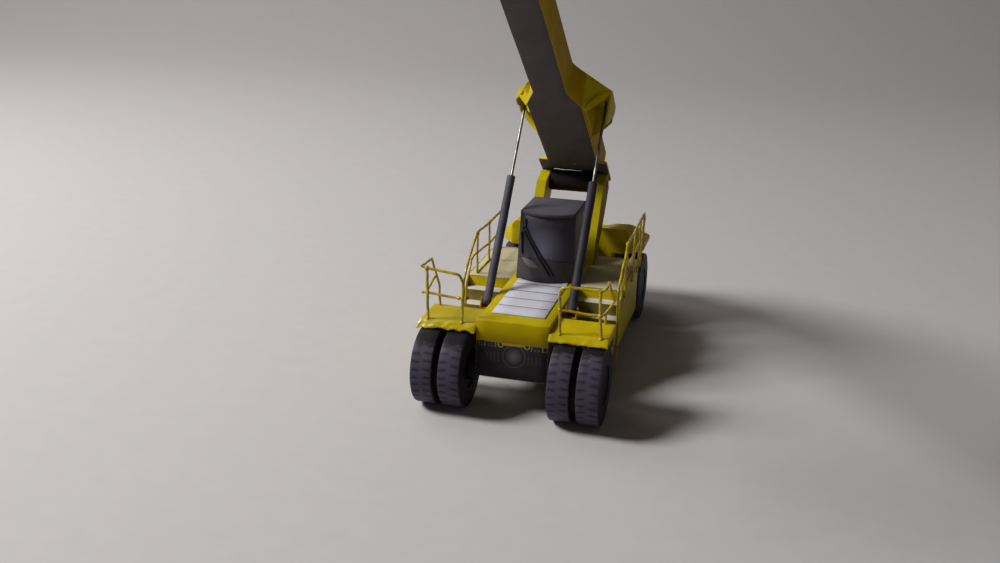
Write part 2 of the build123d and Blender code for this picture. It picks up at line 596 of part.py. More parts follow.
for name, side in SIDES.items():
    out = EAR_IN + CARD
    with BuildPart() as boom_bracket:
        with BuildSketch(BOOM_SIDE.offset(-side * out)):
            with BuildLine():
                Polyline(*EAR, close=True)
            make_face()
        extrude(amount=side * CARD)
        # top plate and the strip glued to the boom's side
        with BuildSketch(BOOM_PLAN.offset(BRACKET_TOP)):
            with BuildLine():
                Polyline((-side * BOOM_WIDE, BRACKET_BACK), (-side * out, BRACKET_BACK),
                         (-side * out, EAR_FRONT), (-side * (BOOM_HALF + CARD), BOOM_NARROW),
                         (-side * BOOM_HALF, BOOM_NARROW), (-side * BOOM_WIDE, BOOM_WIDE_END), close=True)
            make_face()
        extrude(amount=CARD)
        with BuildSketch(BOOM_PLAN.offset(CARD)):
            with BuildLine():
                Polyline((-side * BOOM_WIDE, BRACKET_BACK), (-side * (BOOM_WIDE + CARD), BRACKET_BACK),
                         (-side * (BOOM_WIDE + CARD), BOOM_WIDE_END),
                         (-side * (BOOM_HALF + CARD), BOOM_NARROW), (-side * BOOM_HALF, BOOM_NARROW),
                         (-side * BOOM_WIDE, BOOM_WIDE_END), close=True)
            make_face()
        extrude(amount=BRACKET_TOP - CARD)
        # slanted web ahead of the ear, twisted from the boom's taper up to the plate's edge
        for height, end_x in ((0, WEB_FOOT_X), (BRACKET_TOP, EAR_IN)):
            with BuildSketch(BOOM_PLAN.offset(height)):
                with BuildLine():
                    Polyline((-side * BOOM_HALF, BOOM_NARROW), (-side * (BOOM_HALF + CARD), BOOM_NARROW),
                             (-side * (end_x + CARD), EAR_FRONT), (-side * end_x, EAR_FRONT), close=True)
                make_face()
        loft(ruled=True)
        # its lower edge rises to the ear, clear of the rod
        rise_run = WEB_LIFT / (EAR_IN - BOOM_WIDE - CARD)
        past = out + CARD
        with BuildSketch(BOOM_FRONT_PLANE):
            with BuildLine():
                inner = BOOM_WIDE + CARD
                Polyline((side * inner, 0), (side * inner, -CARD), (side * past, -CARD),
                         (side * past, rise_run * (past - inner)), close=True)
            make_face()
        extrude(amount=EAR_FRONT - BOOM_NARROW, mode=Mode.SUBTRACT)
        # web from the ear's rear edge back to the boom's side, cut level with the ear's lower corner
        with BuildSketch(BOOM_PLAN.offset(BRACKET_TOP)):
            with BuildLine():
                Polyline((-side * BOOM_WIDE, BRACKET_BACK), (-side * out, BRACKET_BACK),
                         (-side * (BOOM_WIDE + CARD), BRACKET_BACK - WEB_BACK),
                         (-side * BOOM_WIDE, BRACKET_BACK - WEB_BACK), close=True)
            make_face()
        extrude(amount=CARD)
        with BuildSketch(BOOM_PLAN.offset(BRACKET_TOP - EAR_REAR)):
            with BuildLine():
                Polyline((-side * out, BRACKET_BACK), (-side * (out - CARD), BRACKET_BACK),
                         (-side * BOOM_WIDE, BRACKET_BACK - WEB_BACK + CARD),
                         (-side * BOOM_WIDE, BRACKET_BACK - WEB_BACK),
                         (-side * (BOOM_WIDE + CARD), BRACKET_BACK - WEB_BACK), close=True)
            make_face()
        extrude(amount=EAR_REAR)
    save(boom_bracket.part, f"boom_bracket_{name}")

with BuildPart() as boom_inner:
    with BuildSketch(BOOM_PLAN.offset((BOOM_H - INNER_H) / 2)):
        with Locations((0, (INNER_START + INNER_END) / 2)):
            Rectangle(2 * INNER_HALF, INNER_END - INNER_START)
    extrude(amount=INNER_H)
save(boom_inner.part, "boom_inner")

with BuildPart() as boom_head:
    with BuildSketch(BOOM_SIDE):
        with BuildLine():
            Polyline((INNER_END, (BOOM_H - INNER_H) / 2), (INNER_END, (BOOM_H + INNER_H) / 2),
                     (HEAD_PIN_ALONG, BOOM_H / 2), (HEAD_PIN_ALONG + HEAD_EYE_R, -HEAD_PIN_BELOW),
                     (HEAD_PIN_ALONG, -HEAD_PIN_BELOW - HEAD_EYE_R),
                     (HEAD_PIN_ALONG - HEAD_EYE_R, -HEAD_PIN_BELOW), close=True)
        make_face()
    extrude(amount=HEAD_HALF + CARD, both=True)
    # room between the cheeks for the yoke
    with BuildSketch(BOOM_SIDE):
        with Locations((HEAD_PIN_ALONG, -HEAD_PIN_BELOW)):
            Circle(YOKE_R + HEAD_ROOM)
    extrude(amount=HEAD_HALF - CARD, both=True, mode=Mode.SUBTRACT)
    with BuildSketch(BOOM_SIDE):
        with Locations((HEAD_PIN_ALONG, -HEAD_PIN_BELOW)):
            Circle(PIVOT_PIN_R)
    extrude(amount=HEAD_HALF + 2 * CARD, both=True)
save(boom_head.part, "boom_head")

# ---- lift cylinders -----------------------------------------------------------------------------
EYE_Y, EYE_Z = boom_yz(ROD_EYE_ALONG, ROD_EYE_ABOVE)
LIFT_LENGTH = hypot(EYE_Y - LIFT_FOOT_Y, EYE_Z - LIFT_FOOT_Z)
LIFT_RUN = (EYE_Y - LIFT_FOOT_Y) / LIFT_LENGTH
LIFT_CLIMB = (EYE_Z - LIFT_FOOT_Z) / LIFT_LENGTH
ROD_START = BARREL_BORE_START + ROD_INSET + ROD_STROKE_IN
BORE_R = ROD_R + CLEARANCE
LUG_HALF = BARREL_R + CLEARANCE
for name, side in SIDES.items():
    lift_plane = Plane(origin=(side * LIFT_X, aft(LIFT_FOOT_Y), LIFT_FOOT_Z),
                       x_dir=(1, 0, 0), z_dir=(0, LIFT_RUN, LIFT_CLIMB))
    with BuildPart() as lift_bracket:
        lug_base = LIFT_FOOT_Z - BARREL_EYE_R - CLEARANCE
        # floor plate from the box's side, and a lug on each side of the barrel's foot
        with BuildSketch(Plane.XY.offset(lug_base - CARD)):
            with Locations((side * (BOX_HALF + LIFT_X + LUG_HALF + CARD) / 2, aft(LIFT_FOOT_Y))):
                Rectangle(LIFT_X + LUG_HALF + CARD - BOX_HALF, 4 * BARREL_R)
        extrude(amount=CARD)
        for x in (LIFT_X - LUG_HALF - CARD, LIFT_X + LUG_HALF):
            with BuildSketch(side_plane(side * x)):
                with BuildLine():
                    near, far = LIFT_FOOT_Y - 2 * BARREL_R, LIFT_FOOT_Y + 2 * BARREL_R
                    lug_top = LIFT_FOOT_Z + 2 * LIFT_PIN_R
                    Polyline((aft(near), lug_base), (aft(far), lug_base),
                             (aft(LIFT_FOOT_Y + LIFT_PIN_R), lug_top),
                             (aft(LIFT_FOOT_Y - LIFT_PIN_R), lug_top), close=True)
                make_face()
            extrude(amount=side * CARD)
        with BuildSketch(side_plane(side * (LIFT_X - LUG_HALF - CARD))):
            with Locations((aft(LIFT_FOOT_Y), LIFT_FOOT_Z)):
                Circle(LIFT_PIN_R)
        extrude(amount=side * 2 * (LUG_HALF + CARD))
    save(lift_bracket.part, f"lift_bracket_{name}")

    with BuildPart() as lift_barrel:
        with BuildSketch(lift_plane):
            Circle(BARREL_R)
        extrude(amount=BARREL_LENGTH)
        with BuildSketch(side_plane(side * LIFT_X)):
            with Locations((aft(LIFT_FOOT_Y), LIFT_FOOT_Z)):
                Circle(BARREL_EYE_R)
        extrude(amount=BARREL_EYE_HALF, both=True)
        with BuildSketch(side_plane(side * LIFT_X)):
            with Locations((aft(LIFT_FOOT_Y), LIFT_FOOT_Z)):
                Circle(LIFT_PIN_R + RUNNING_GAP)
        extrude(amount=BARREL_R, both=True, mode=Mode.SUBTRACT)
        with BuildSketch(lift_plane.offset(BARREL_BORE_START)):
            Circle(BORE_R)
        extrude(amount=BARREL_LENGTH - BARREL_BORE_START, mode=Mode.SUBTRACT)
    save(lift_barrel.part, f"lift_barrel_{name}")

    with BuildPart() as lift_rod:
        with BuildSketch(lift_plane.offset(ROD_START)):
            Circle(ROD_R)
        extrude(amount=LIFT_LENGTH - ROD_START)
        # the wire's end, turned out towards the ear
        with BuildSketch(side_plane(side * (LIFT_X - ROD_R))):
            with Locations((aft(EYE_Y), EYE_Z)):
                Circle(ROD_HOOK_R)
        extrude(amount=side * (EAR_IN - CLEARANCE - LIFT_X + ROD_R))
    save(lift_rod.part, f"lift_rod_{name}")

# ---- spreader -----------------------------------------------------------------------------------
RING_Z = HEAD_Z - RING_DROP
with BuildPart() as rotator:
    with BuildSketch(Plane.YZ):
        with Locations((aft(HEAD_Y), HEAD_Z)):
            Circle(YOKE_R)
        with Locations((aft(HEAD_Y), HEAD_Z - RING_DROP / 2)):
            Rectangle(2 * YOKE_R, RING_DROP)
        with Locations((aft(HEAD_Y), HEAD_Z)):
            Circle(PIVOT_PIN_R + RUNNING_GAP, mode=Mode.SUBTRACT)
    extrude(amount=YOKE_HALF, both=True)
    with BuildSketch(Plane.XY.offset(RING_Z)):
        with Locations((0, aft(HEAD_Y))):
            Circle(RING_R)
    extrude(amount=-RING_T)
save(rotator.part, "rotator")

BEAM_TOP = HEAD_Z - BEAM_DROP
ARM_TOP = BEAM_TOP - (BEAM_H - ARM_H) / 2
ARM_REACH = LOCK_SPAN_X / 2 - END_BEAM_HALF
with BuildPart() as spreader_beam:
    with BuildSketch(Plane.XY.offset(BEAM_TOP)):
        with Locations((0, aft(HEAD_Y))):
            Rectangle(BEAM_LENGTH, 2 * BEAM_HALF)
    extrude(amount=-BEAM_H)
    with BuildSketch(Plane.XY.offset(BEAM_TOP)):
        with Locations((0, aft(HEAD_Y))):
            Circle(RING_R - CARD)
    extrude(amount=RING_Z - RING_T - CLEARANCE - BEAM_TOP)
save(spreader_beam.part, "spreader_beam")

with BuildPart() as spreader_arms:
    for side in SIDES.values():
        with BuildSketch(Plane.XY.offset(ARM_TOP)):
            with Locations((side * (BEAM_LENGTH / 2 + ARM_REACH) / 2, aft(HEAD_Y))):
                Rectangle(ARM_REACH - BEAM_LENGTH / 2, 2 * ARM_HALF)
            with Locations((side * LOCK_SPAN_X / 2, aft(HEAD_Y))):
                Rectangle(2 * END_BEAM_HALF, 2 * SPREADER_HALF_Y)
        extrude(amount=-ARM_H)
save(spreader_arms.part, "spreader_arms")

with BuildPart() as twistlocks:
    with BuildSketch(Plane.XY.offset(ARM_TOP - ARM_H)):
        with Locations((0, aft(HEAD_Y))):
            with GridLocations(LOCK_SPAN_X, LOCK_SPAN_Y, 2, 2):
                Circle(LOCK_R)
    extrude(amount=-LOCK_H)
save(twistlocks.part, "twistlocks")
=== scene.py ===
"""Looks of a card, paper and wire scale model of a container reach stacker.

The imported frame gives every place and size.  Lengths in this file are in
millimetres unless a name says otherwise, and meshes are scaled to metres when
they are made.  +X is the machine's left, -Y its front and +Z up.
"""
import logging
import math
from dataclasses import dataclass, field
from enum import Enum
from functools import cache
from typing import Callable, Iterable, Sequence

import bmesh
import bpy
from mathutils import Matrix, Vector, noise


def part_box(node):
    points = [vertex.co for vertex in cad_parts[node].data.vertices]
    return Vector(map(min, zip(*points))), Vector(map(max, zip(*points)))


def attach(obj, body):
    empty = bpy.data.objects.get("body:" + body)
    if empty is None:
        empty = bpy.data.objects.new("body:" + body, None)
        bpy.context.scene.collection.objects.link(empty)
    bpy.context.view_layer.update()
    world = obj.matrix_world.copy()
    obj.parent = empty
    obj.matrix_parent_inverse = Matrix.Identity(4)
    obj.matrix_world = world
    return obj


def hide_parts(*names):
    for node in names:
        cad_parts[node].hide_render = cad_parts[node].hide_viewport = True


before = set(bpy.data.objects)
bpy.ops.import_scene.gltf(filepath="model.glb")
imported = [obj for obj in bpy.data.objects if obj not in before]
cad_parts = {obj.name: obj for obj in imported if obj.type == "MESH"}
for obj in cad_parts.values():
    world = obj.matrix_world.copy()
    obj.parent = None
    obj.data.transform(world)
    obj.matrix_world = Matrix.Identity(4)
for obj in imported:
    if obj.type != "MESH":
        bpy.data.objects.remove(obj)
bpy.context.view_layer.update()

MM = 0.001
LOG = logging.getLogger("reach_stacker")
SEED = 4
noise.seed_set(SEED)

Point = tuple[float, float, float]
Colour = tuple[float, float, float]


class Side(Enum):
    """The two sides of the machine, as the sign of X."""

    LEFT = 1
    RIGHT = -1

    @property
    def tag(self) -> str:
        """Name of the side as the frame's nodes spell it."""
        return self.name.lower()


class Axle(Enum):
    """The two axles."""

    FRONT = "front"
    REAR = "rear"


class Shading(Enum):
    """How a piece's faces meet, as the angle in degrees past which an edge stays sharp."""

    FLAT = 0.0
    FACETED = 14.0
    CREASED = 30.0
    ROUND = 50.0


@dataclass(frozen=True)
class Box:
    """A CAD node's box at rest, in millimetres."""

    low: Vector
    high: Vector

    @classmethod
    @cache
    def of(cls, node: str) -> "Box":
        """Read a node's box from the frame.

        Args:
            node: name of the CAD node.

        Returns:
            Its box in millimetres.
        """
        low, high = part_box(node)
        return cls(Vector(low) / MM, Vector(high) / MM)

    @property
    def centre(self) -> Vector:
        """Middle of the box."""
        return (self.low + self.high) / 2

    @property
    def size(self) -> Vector:
        """Lengths of the box's sides."""
        return self.high - self.low


def tint(red: int, green: int, blue: int) -> Colour:
    """Turn a display colour, 0 to 255, into the linear one that shaders take.

    Args:
        red: red part.
        green: green part.
        blue: blue part.

    Returns:
        Linear red, green and blue, 0 to 1.
    """
    def linear(level: int) -> float:
        """Linear share of one part."""
        share = level / 255
        return share / 12.92 if share <= 0.04045 else ((share + 0.055) / 1.055) ** 2.4

    return linear(red), linear(green), linear(blue)


# ---------------------------------------------------------------------------
# shader graphs
# ---------------------------------------------------------------------------
Socket = bpy.types.NodeSocket


class Wiring:
    """A node tree with short calls that link or set its inputs."""

    def __init__(self, tree: bpy.types.NodeTree) -> None:
        """Keep the tree."""
        self.tree = tree

    def feed(self, socket: Socket, value: object) -> None:
        """Link a socket to another, or set its value.

        Args:
            socket: input to fill.
            value: an output socket, a number or a colour.
        """
        if isinstance(value, bpy.types.NodeSocket):
            self.tree.links.new(value, socket)
        elif isinstance(value, tuple) and len(value) == 3 and socket.type == "RGBA":
            socket.default_value = (*value, 1.0)
        else:
            socket.default_value = value

    def maths(self, operation: str, *values: object) -> Socket:
        """One Math node.

        Args:
            operation: the node's operation.
            values: its inputs.

        Returns:
            The result's socket.
        """
        node = self.tree.nodes.new("ShaderNodeMath")
        node.operation = operation
        for socket, value in zip(node.inputs, values):
            self.feed(socket, value)
        return node.outputs[0]

    def plus(self, first: object, second: object) -> Socket:
        """Sum of two values."""
        return self.maths("ADD", first, second)

    def minus(self, first: object, second: object) -> Socket:
        """Difference of two values."""
        return self.maths("SUBTRACT", first, second)

    def inverse(self, mask: object) -> Socket:
        """One less a mask."""
        return self.minus(1.0, mask)

    def times(self, product: object, *others: object) -> object:
        """Product of any number of values.

        Args:
            product: the first value.
            others: the values that multiply it, one after another.

        Returns:
            The product's socket.
        """
        for other in others:
            product = self.maths("MULTIPLY", product, other)
        return product


class Graph(Wiring):
    """A material's node tree, with short calls for the nodes that prints are drawn with."""

    def __init__(self, name: str) -> None:
        """Make an empty material and its Principled shader.

        Args:
            name: the material's name.
        """
        self.material = bpy.data.materials.new(name)
        self.material.use_nodes = True
        super().__init__(self.material.node_tree)
        self.tree.nodes.clear()
        output = self.tree.nodes.new("ShaderNodeOutputMaterial")
        self.shader = self.tree.nodes.new("ShaderNodeBsdfPrincipled")
        self.tree.links.new(self.shader.outputs["BSDF"], output.inputs["Surface"])
        self._axes: dict[str, Socket] = {}

    @property
    def position(self) -> Socket:
        """Object coordinates.

        Returns:
            The place as a vector in millimetres.
        """
        if "position" not in self._axes:
            coordinate = self.tree.nodes.new("ShaderNodeTexCoord")
            scale = self.tree.nodes.new("ShaderNodeVectorMath")
            scale.operation = "SCALE"
            self.tree.links.new(coordinate.outputs["Object"], scale.inputs[0])
            scale.inputs["Scale"].default_value = 1 / MM
            self._axes["position"] = scale.outputs[0]
        return self._axes["position"]

    def axis(self, letter: str) -> Socket:
        """One object coordinate in millimetres.

        Args:
            letter: X, Y or Z.

        Returns:
            The coordinate's socket.
        """
        if letter not in self._axes:
            split = self.tree.nodes.new("ShaderNodeSeparateXYZ")
            self.tree.links.new(self.position, split.inputs[0])
            for key in "XYZ":
                self._axes[key] = split.outputs[key]
        return self._axes[letter]

    def step(self, value: object, edge: float, soft: float = 0.08) -> Socket:
        """Mask that goes from 0 to 1 at an edge.

        Args:
            value: what is compared.
            edge: place of the edge.
            soft: width over which it fades.

        Returns:
            The mask.
        """
        node = self.tree.nodes.new("ShaderNodeMapRange")
        node.clamp = True
        self.feed(node.inputs["Value"], value)
        node.inputs["From Min"].default_value = edge - soft / 2
        node.inputs["From Max"].default_value = edge + soft / 2
        return node.outputs["Result"]

    def band(self, value: object, low: float, high: float, soft: float = 0.08) -> Socket:
        """Mask that is 1 between two values.

        Args:
            value: what is compared.
            low: lower edge.
            high: upper edge.
            soft: width over which the edge fades.

        Returns:
            The mask, 0 to 1.
        """
        return self.minus(self.step(value, low, soft), self.step(value, high, soft))

    def stripes(self, value: object, pitch: float, shift: float = 100.0) -> Socket:
        """Sawtooth that rises from 0 to 1 in each pitch.

        Args:
            value: what is divided.
            pitch: length of one rise.
            shift: whole number of pitches that keeps the sum above 0, with a share that slides the teeth.

        Returns:
            The sawtooth, 0 to 1.
        """
        return self.maths("FRACT", self.plus(self.maths("DIVIDE", value, pitch), shift))

    def mix(self, share: object, first: object, second: object) -> Socket:
        """Blend two colours.

        Args:
            share: 0 gives the first colour and 1 the second.
            first: a colour or socket.
            second: a colour or socket.

        Returns:
            The blended colour.
        """
        node = self.tree.nodes.new("ShaderNodeMix")
        node.data_type = "RGBA"
        self.feed(node.inputs["Factor"], share)
        self.feed(node.inputs[6], first)
        self.feed(node.inputs[7], second)
        return node.outputs[2]

    def draw(self, colour: object, ink: object, *masks: object) -> Socket:
        """Print ink over a colour.

        Args:
            colour: what lies below.
            ink: colour of the ink.
            masks: masks and strengths, multiplied with each other.

        Returns:
            The printed colour.
        """
        return self.mix(self.times(*masks), colour, ink)

    def speckle(self, pitch: float, detail: float = 2.0, stretch: Point = (1.0, 1.0, 1.0)) -> Socket:
        """Noise whose features are about a pitch wide.

        Args:
            pitch: feature size in millimetres.
            detail: noise detail.
            stretch: how much longer the features are along each axis.

        Returns:
            The noise, 0 to 1.
        """
        mapping = self.tree.nodes.new("ShaderNodeMapping")
        self.feed(mapping.inputs["Vector"], self.position)
        mapping.inputs["Scale"].default_value = tuple(1 / (pitch * s) for s in stretch)
        node = self.tree.nodes.new("ShaderNodeTexNoise")
        self.feed(node.inputs["Vector"], mapping.outputs[0])
        node.inputs["Scale"].default_value = 1.0
        node.inputs["Detail"].default_value = detail
        return node.outputs["Fac"]

    def specks(self, pitch: float, radius: float, share: float) -> Socket:
        """Mask of small round specks scattered at about a pitch.

        Args:
            pitch: distance between neighbouring places in millimetres.
            radius: radius of a speck in millimetres.
            share: how many of the places hold a speck, 0 to 1.

        Returns:
            The mask, 0 to 1.
        """
        node = self.tree.nodes.new("ShaderNodeTexVoronoi")
        self.feed(node.inputs["Vector"], self.position)
        node.inputs["Scale"].default_value = 1 / pitch
        split = self.tree.nodes.new("ShaderNodeSeparateColor")
        self.feed(split.inputs[0], node.outputs["Color"])
        size = self.times(split.outputs[1], radius / pitch)
        near = self.step(self.minus(size, node.outputs["Distance"]), 0.0, 0.3 * radius / pitch)
        return self.times(near, self.maths("LESS_THAN", split.outputs[0], share))

    def reach(self, first: Socket, second: Socket, centre: tuple[float, float]) -> Socket:
        """Distance from a point in the plane of two coordinates.

        Args:
            first: one coordinate.
            second: the other coordinate.
            centre: the point.

        Returns:
            The distance in millimetres.
        """
        across = self.minus(first, centre[0])
        above = self.minus(second, centre[1])
        return self.maths("SQRT", self.plus(self.times(across, across), self.times(above, above)))

    def bump(self, height: Socket, distance: float, strength: float) -> None:
        """Drive the shader's normal from a height.

        Args:
            height: height field, 0 to 1.
            distance: height in millimetres.
            strength: how strongly it shows.
        """
        node = self.tree.nodes.new("ShaderNodeBump")
        self.feed(node.inputs["Height"], height)
        node.inputs["Distance"].default_value = distance * MM
        node.inputs["Strength"].default_value = strength
        self.feed(self.shader.inputs["Normal"], node.outputs[0])


BLOTCH_PITCH = 9.0
GRAIN_PITCH = 0.5
GRAIN_INK = 0.16
SCUFF_PITCH = 2.2
SCUFF_INK = 0.35
DUST_PITCH = 5.0
DUST_RADIUS = 0.8
WEAR_PITCH = 3.0
WEAR_SPREAD = 0.16
WET_EDGE = 2.0
FIBRE_PITCH = 0.35
WAVE_PITCH = 4.0
FIBRE_HEIGHT = 0.06


@dataclass(frozen=True)
class PrintedCard:
    """Inkjet-printed card: mottled ink over paper fibre, scuffed pale in places."""

    name: str
    colour: Colour
    mottle: float = 0.12
    roughness: float = 0.55
    fade: Colour | None = None
    fibre: float = 0.25
    gloss: float = 0.12
    dust: float = 0.0
    varnish: tuple[str, float, float] | None = None

    def base(self, graph: Graph) -> Socket:
        """Colour of the sheet before its print.

        Args:
            graph: the material's graph.

        Returns:
            The colour's socket.
        """
        dark = tuple(c * (1 - self.mottle) for c in self.colour)
        pale = tuple(min(1.0, c * (1 + self.mottle)) for c in self.colour)
        blotch = graph.speckle(BLOTCH_PITCH, 3.0)
        grain = graph.speckle(GRAIN_PITCH, 1.0)
        sheet = graph.mix(graph.step(blotch, 0.5, 0.5), dark, pale)
        if self.fade is not None:
            sheet = graph.draw(sheet, self.fade, graph.step(graph.speckle(SCUFF_PITCH, 6.0), 0.66, 0.12), SCUFF_INK)
        return graph.draw(sheet, dark, grain, GRAIN_INK)

    def dress(self, _: Graph, colour: Socket) -> Socket:
        """Print over the base colour; plain card has no print."""
        return colour

    def make(self) -> bpy.types.Material:
        """Build the material.

        Returns:
            The finished material.
        """
        graph = Graph(self.name)
        colour = self.dress(graph, self.base(graph))
        if self.dust > 0:
            colour = graph.draw(colour, DUST, graph.specks(DUST_PITCH, DUST_RADIUS, self.dust))
        graph.feed(graph.shader.inputs["Base Color"], colour)
        rough = graph.plus(self.roughness - WEAR_SPREAD / 2, graph.times(graph.speckle(WEAR_PITCH), WEAR_SPREAD))
        if self.varnish is not None:
            letter, edge, keep = self.varnish
            wet = graph.inverse(graph.step(graph.axis(letter), edge, WET_EDGE))
            rough = graph.times(rough, graph.inverse(graph.times(wet, keep)))
        graph.feed(graph.shader.inputs["Roughness"], rough)
        graph.shader.inputs["Specular IOR Level"].default_value = self.gloss
        waves = graph.times(graph.speckle(WAVE_PITCH), 2.0)
        graph.bump(graph.plus(graph.speckle(FIBRE_PITCH, 3.0), waves), FIBRE_HEIGHT, self.fibre)
        return graph.material


@dataclass(frozen=True)
class TyrePrint(PrintedCard):
    """Tread strip with two rows of short slanted marks, round the wheel's own axis, and an arc of painted shade on its
    top front.
    """

    axis_y: float = 0.0
    axis_z: float = 16.7
    radius: float = 16.7
    starts: tuple[float, ...] = ()
    width: float = 9.2
    ink: Colour = (0.0, 0.0, 0.0)
    pitch: float = 3.4
    reach: float = 3.4
    margin: float = 0.35
    ink_strength: float = 0.72
    shade_arc_start: float = 1.1
    shade_arc_end: float = 0.0

    def dress(self, graph: Graph, colour: Socket) -> Socket:
        """Draw the tread's marks and the painted shade on its top front.

        Args:
            graph: the material's graph.
            colour: the strip's colour.

        Returns:
            The colour with the marks.
        """
        x = graph.axis("X")
        y = graph.minus(graph.axis("Y"), self.axis_y)
        z = graph.minus(graph.axis("Z"), self.axis_z)
        angle = graph.maths("ARCTAN2", z, y)
        arc = graph.times(angle, self.radius)
        wobble = graph.times(graph.speckle(2.0), 1.5)
        for start in self.starts:
            rows = ((start + self.margin, 0.3, 100.0), (start + self.width - self.margin - self.reach, -0.2, 100.4))
            for low, slant, shift in rows:
                slide = graph.plus(graph.times(x, 0.35 * slant), wobble)
                dash = graph.band(graph.stripes(graph.plus(arc, slide), self.pitch, shift), 0.28, 0.60, 0.26)
                row = graph.band(x, low, low + self.reach, 1.3)
                colour = graph.draw(colour, self.ink, dash, row, self.ink_strength)
        # Painted shade: a dark arc with pale flecks over the tread's top front, where the wing's shadow falls; it turns
        # with the wheel.
        if self.shade_arc_end > 0:
            uneven = graph.plus(angle, graph.times(graph.speckle(2.6, 3.0), 0.35))
            flakes = graph.step(graph.speckle(0.9, 4.0, (3.0, 1.0, 1.0)), 0.69, 0.05)
            painted_shade = graph.draw(self.ink, self.fade or self.colour, flakes, 0.5)
            colour = graph.draw(colour, painted_shade, graph.band(uneven, self.shade_arc_start, self.shade_arc_end, 0.16))
        return colour


@dataclass(frozen=True)
class TreadPlate(PrintedCard):
    """Tread-plate print: fine crossed strokes on a cream ground."""

    ink: Colour = (0.1, 0.1, 0.05)
    pitch: float = 1.3
    slant: float = 0.45
    ink_strength: float = 0.22

    def dress(self, graph: Graph, colour: Socket) -> Socket:
        """Draw the crossed strokes.

        Args:
            graph: the material's graph.
            colour: the ground's colour.

        Returns:
            The colour with the strokes.
        """
        x, y = graph.axis("X"), graph.axis("Y")
        for slant in (self.slant, -self.slant):
            across = graph.plus(x, graph.times(y, slant))
            line = graph.band(graph.stripes(across, self.pitch), 0.35, 0.62, 0.25)
            colour = graph.draw(colour, self.ink, line, self.ink_strength)
        return colour


@dataclass(frozen=True)
class CabPrint(PrintedCard):
    """Cab front: dark glass with a soft pale patch of painted reflection over a curved sill, a warmer band below it,
    and a painted highlight on one facet.
    """

    front: float = 0.0
    sill: float = 50.2
    sill_middle: float = -1.0
    sag: float = 0.011
    painted_reflection: Colour = (0.1, 0.1, 0.12)
    painted_reflection_at: tuple[float, float] = (0.5, 54.0)
    band_colour: Colour = (0.05, 0.045, 0.045)
    line: Colour = (0.02, 0.02, 0.022)
    painted_highlight: Colour = (0.1, 0.1, 0.1)
    painted_highlight_at: tuple[float, float] = (-6.5, 47.7)
    facet_turn: tuple[float, float] = (0.94, 0.345)

    def dress(self, graph: Graph, colour: Socket) -> Socket:
        """Draw the glass with its painted reflection, its sill, and the painted highlight on a facet.

        Args:
            graph: the material's graph.
            colour: colour of the sheet.

        Returns:
            The colour with the print.
        """
        x, z = graph.axis("X"), graph.axis("Z")
        ahead = graph.inverse(graph.step(graph.axis("Y"), self.front, 0.5))
        off = graph.minus(x, self.sill_middle)
        rise = graph.plus(graph.minus(z, self.sill), graph.times(off, off, self.sag))
        above = graph.step(rise, 0.0, 0.25)
        # Painted reflection: a soft pale patch on the glass, above the sill.
        reflection_mask = graph.inverse(graph.step(graph.reach(x, z, self.painted_reflection_at), 5.5, 11.0))
        colour = graph.draw(colour, self.painted_reflection, reflection_mask, above, 0.85, ahead)
        colour = graph.draw(colour, self.band_colour, graph.inverse(above), ahead, 0.85)
        colour = graph.draw(colour, self.line, graph.band(rise, -0.3, 0.3, 0.3), ahead, 0.6)
        # Painted highlight: a pale lens-shaped patch on one facet of the front.
        right, up = graph.minus(x, self.painted_highlight_at[0]), graph.minus(z, self.painted_highlight_at[1])
        cosine, sine = self.facet_turn
        along = graph.plus(graph.times(right, cosine), graph.times(up, -sine))
        across = graph.plus(graph.times(right, sine), graph.times(up, cosine))
        lens = graph.plus(graph.times(along, along, 0.050), graph.maths("ABSOLUTE", graph.maths("DIVIDE", across, 1.5)))
        return graph.draw(colour, self.painted_highlight, graph.inverse(graph.step(lens, 1.0, 0.3)), ahead, 0.85)


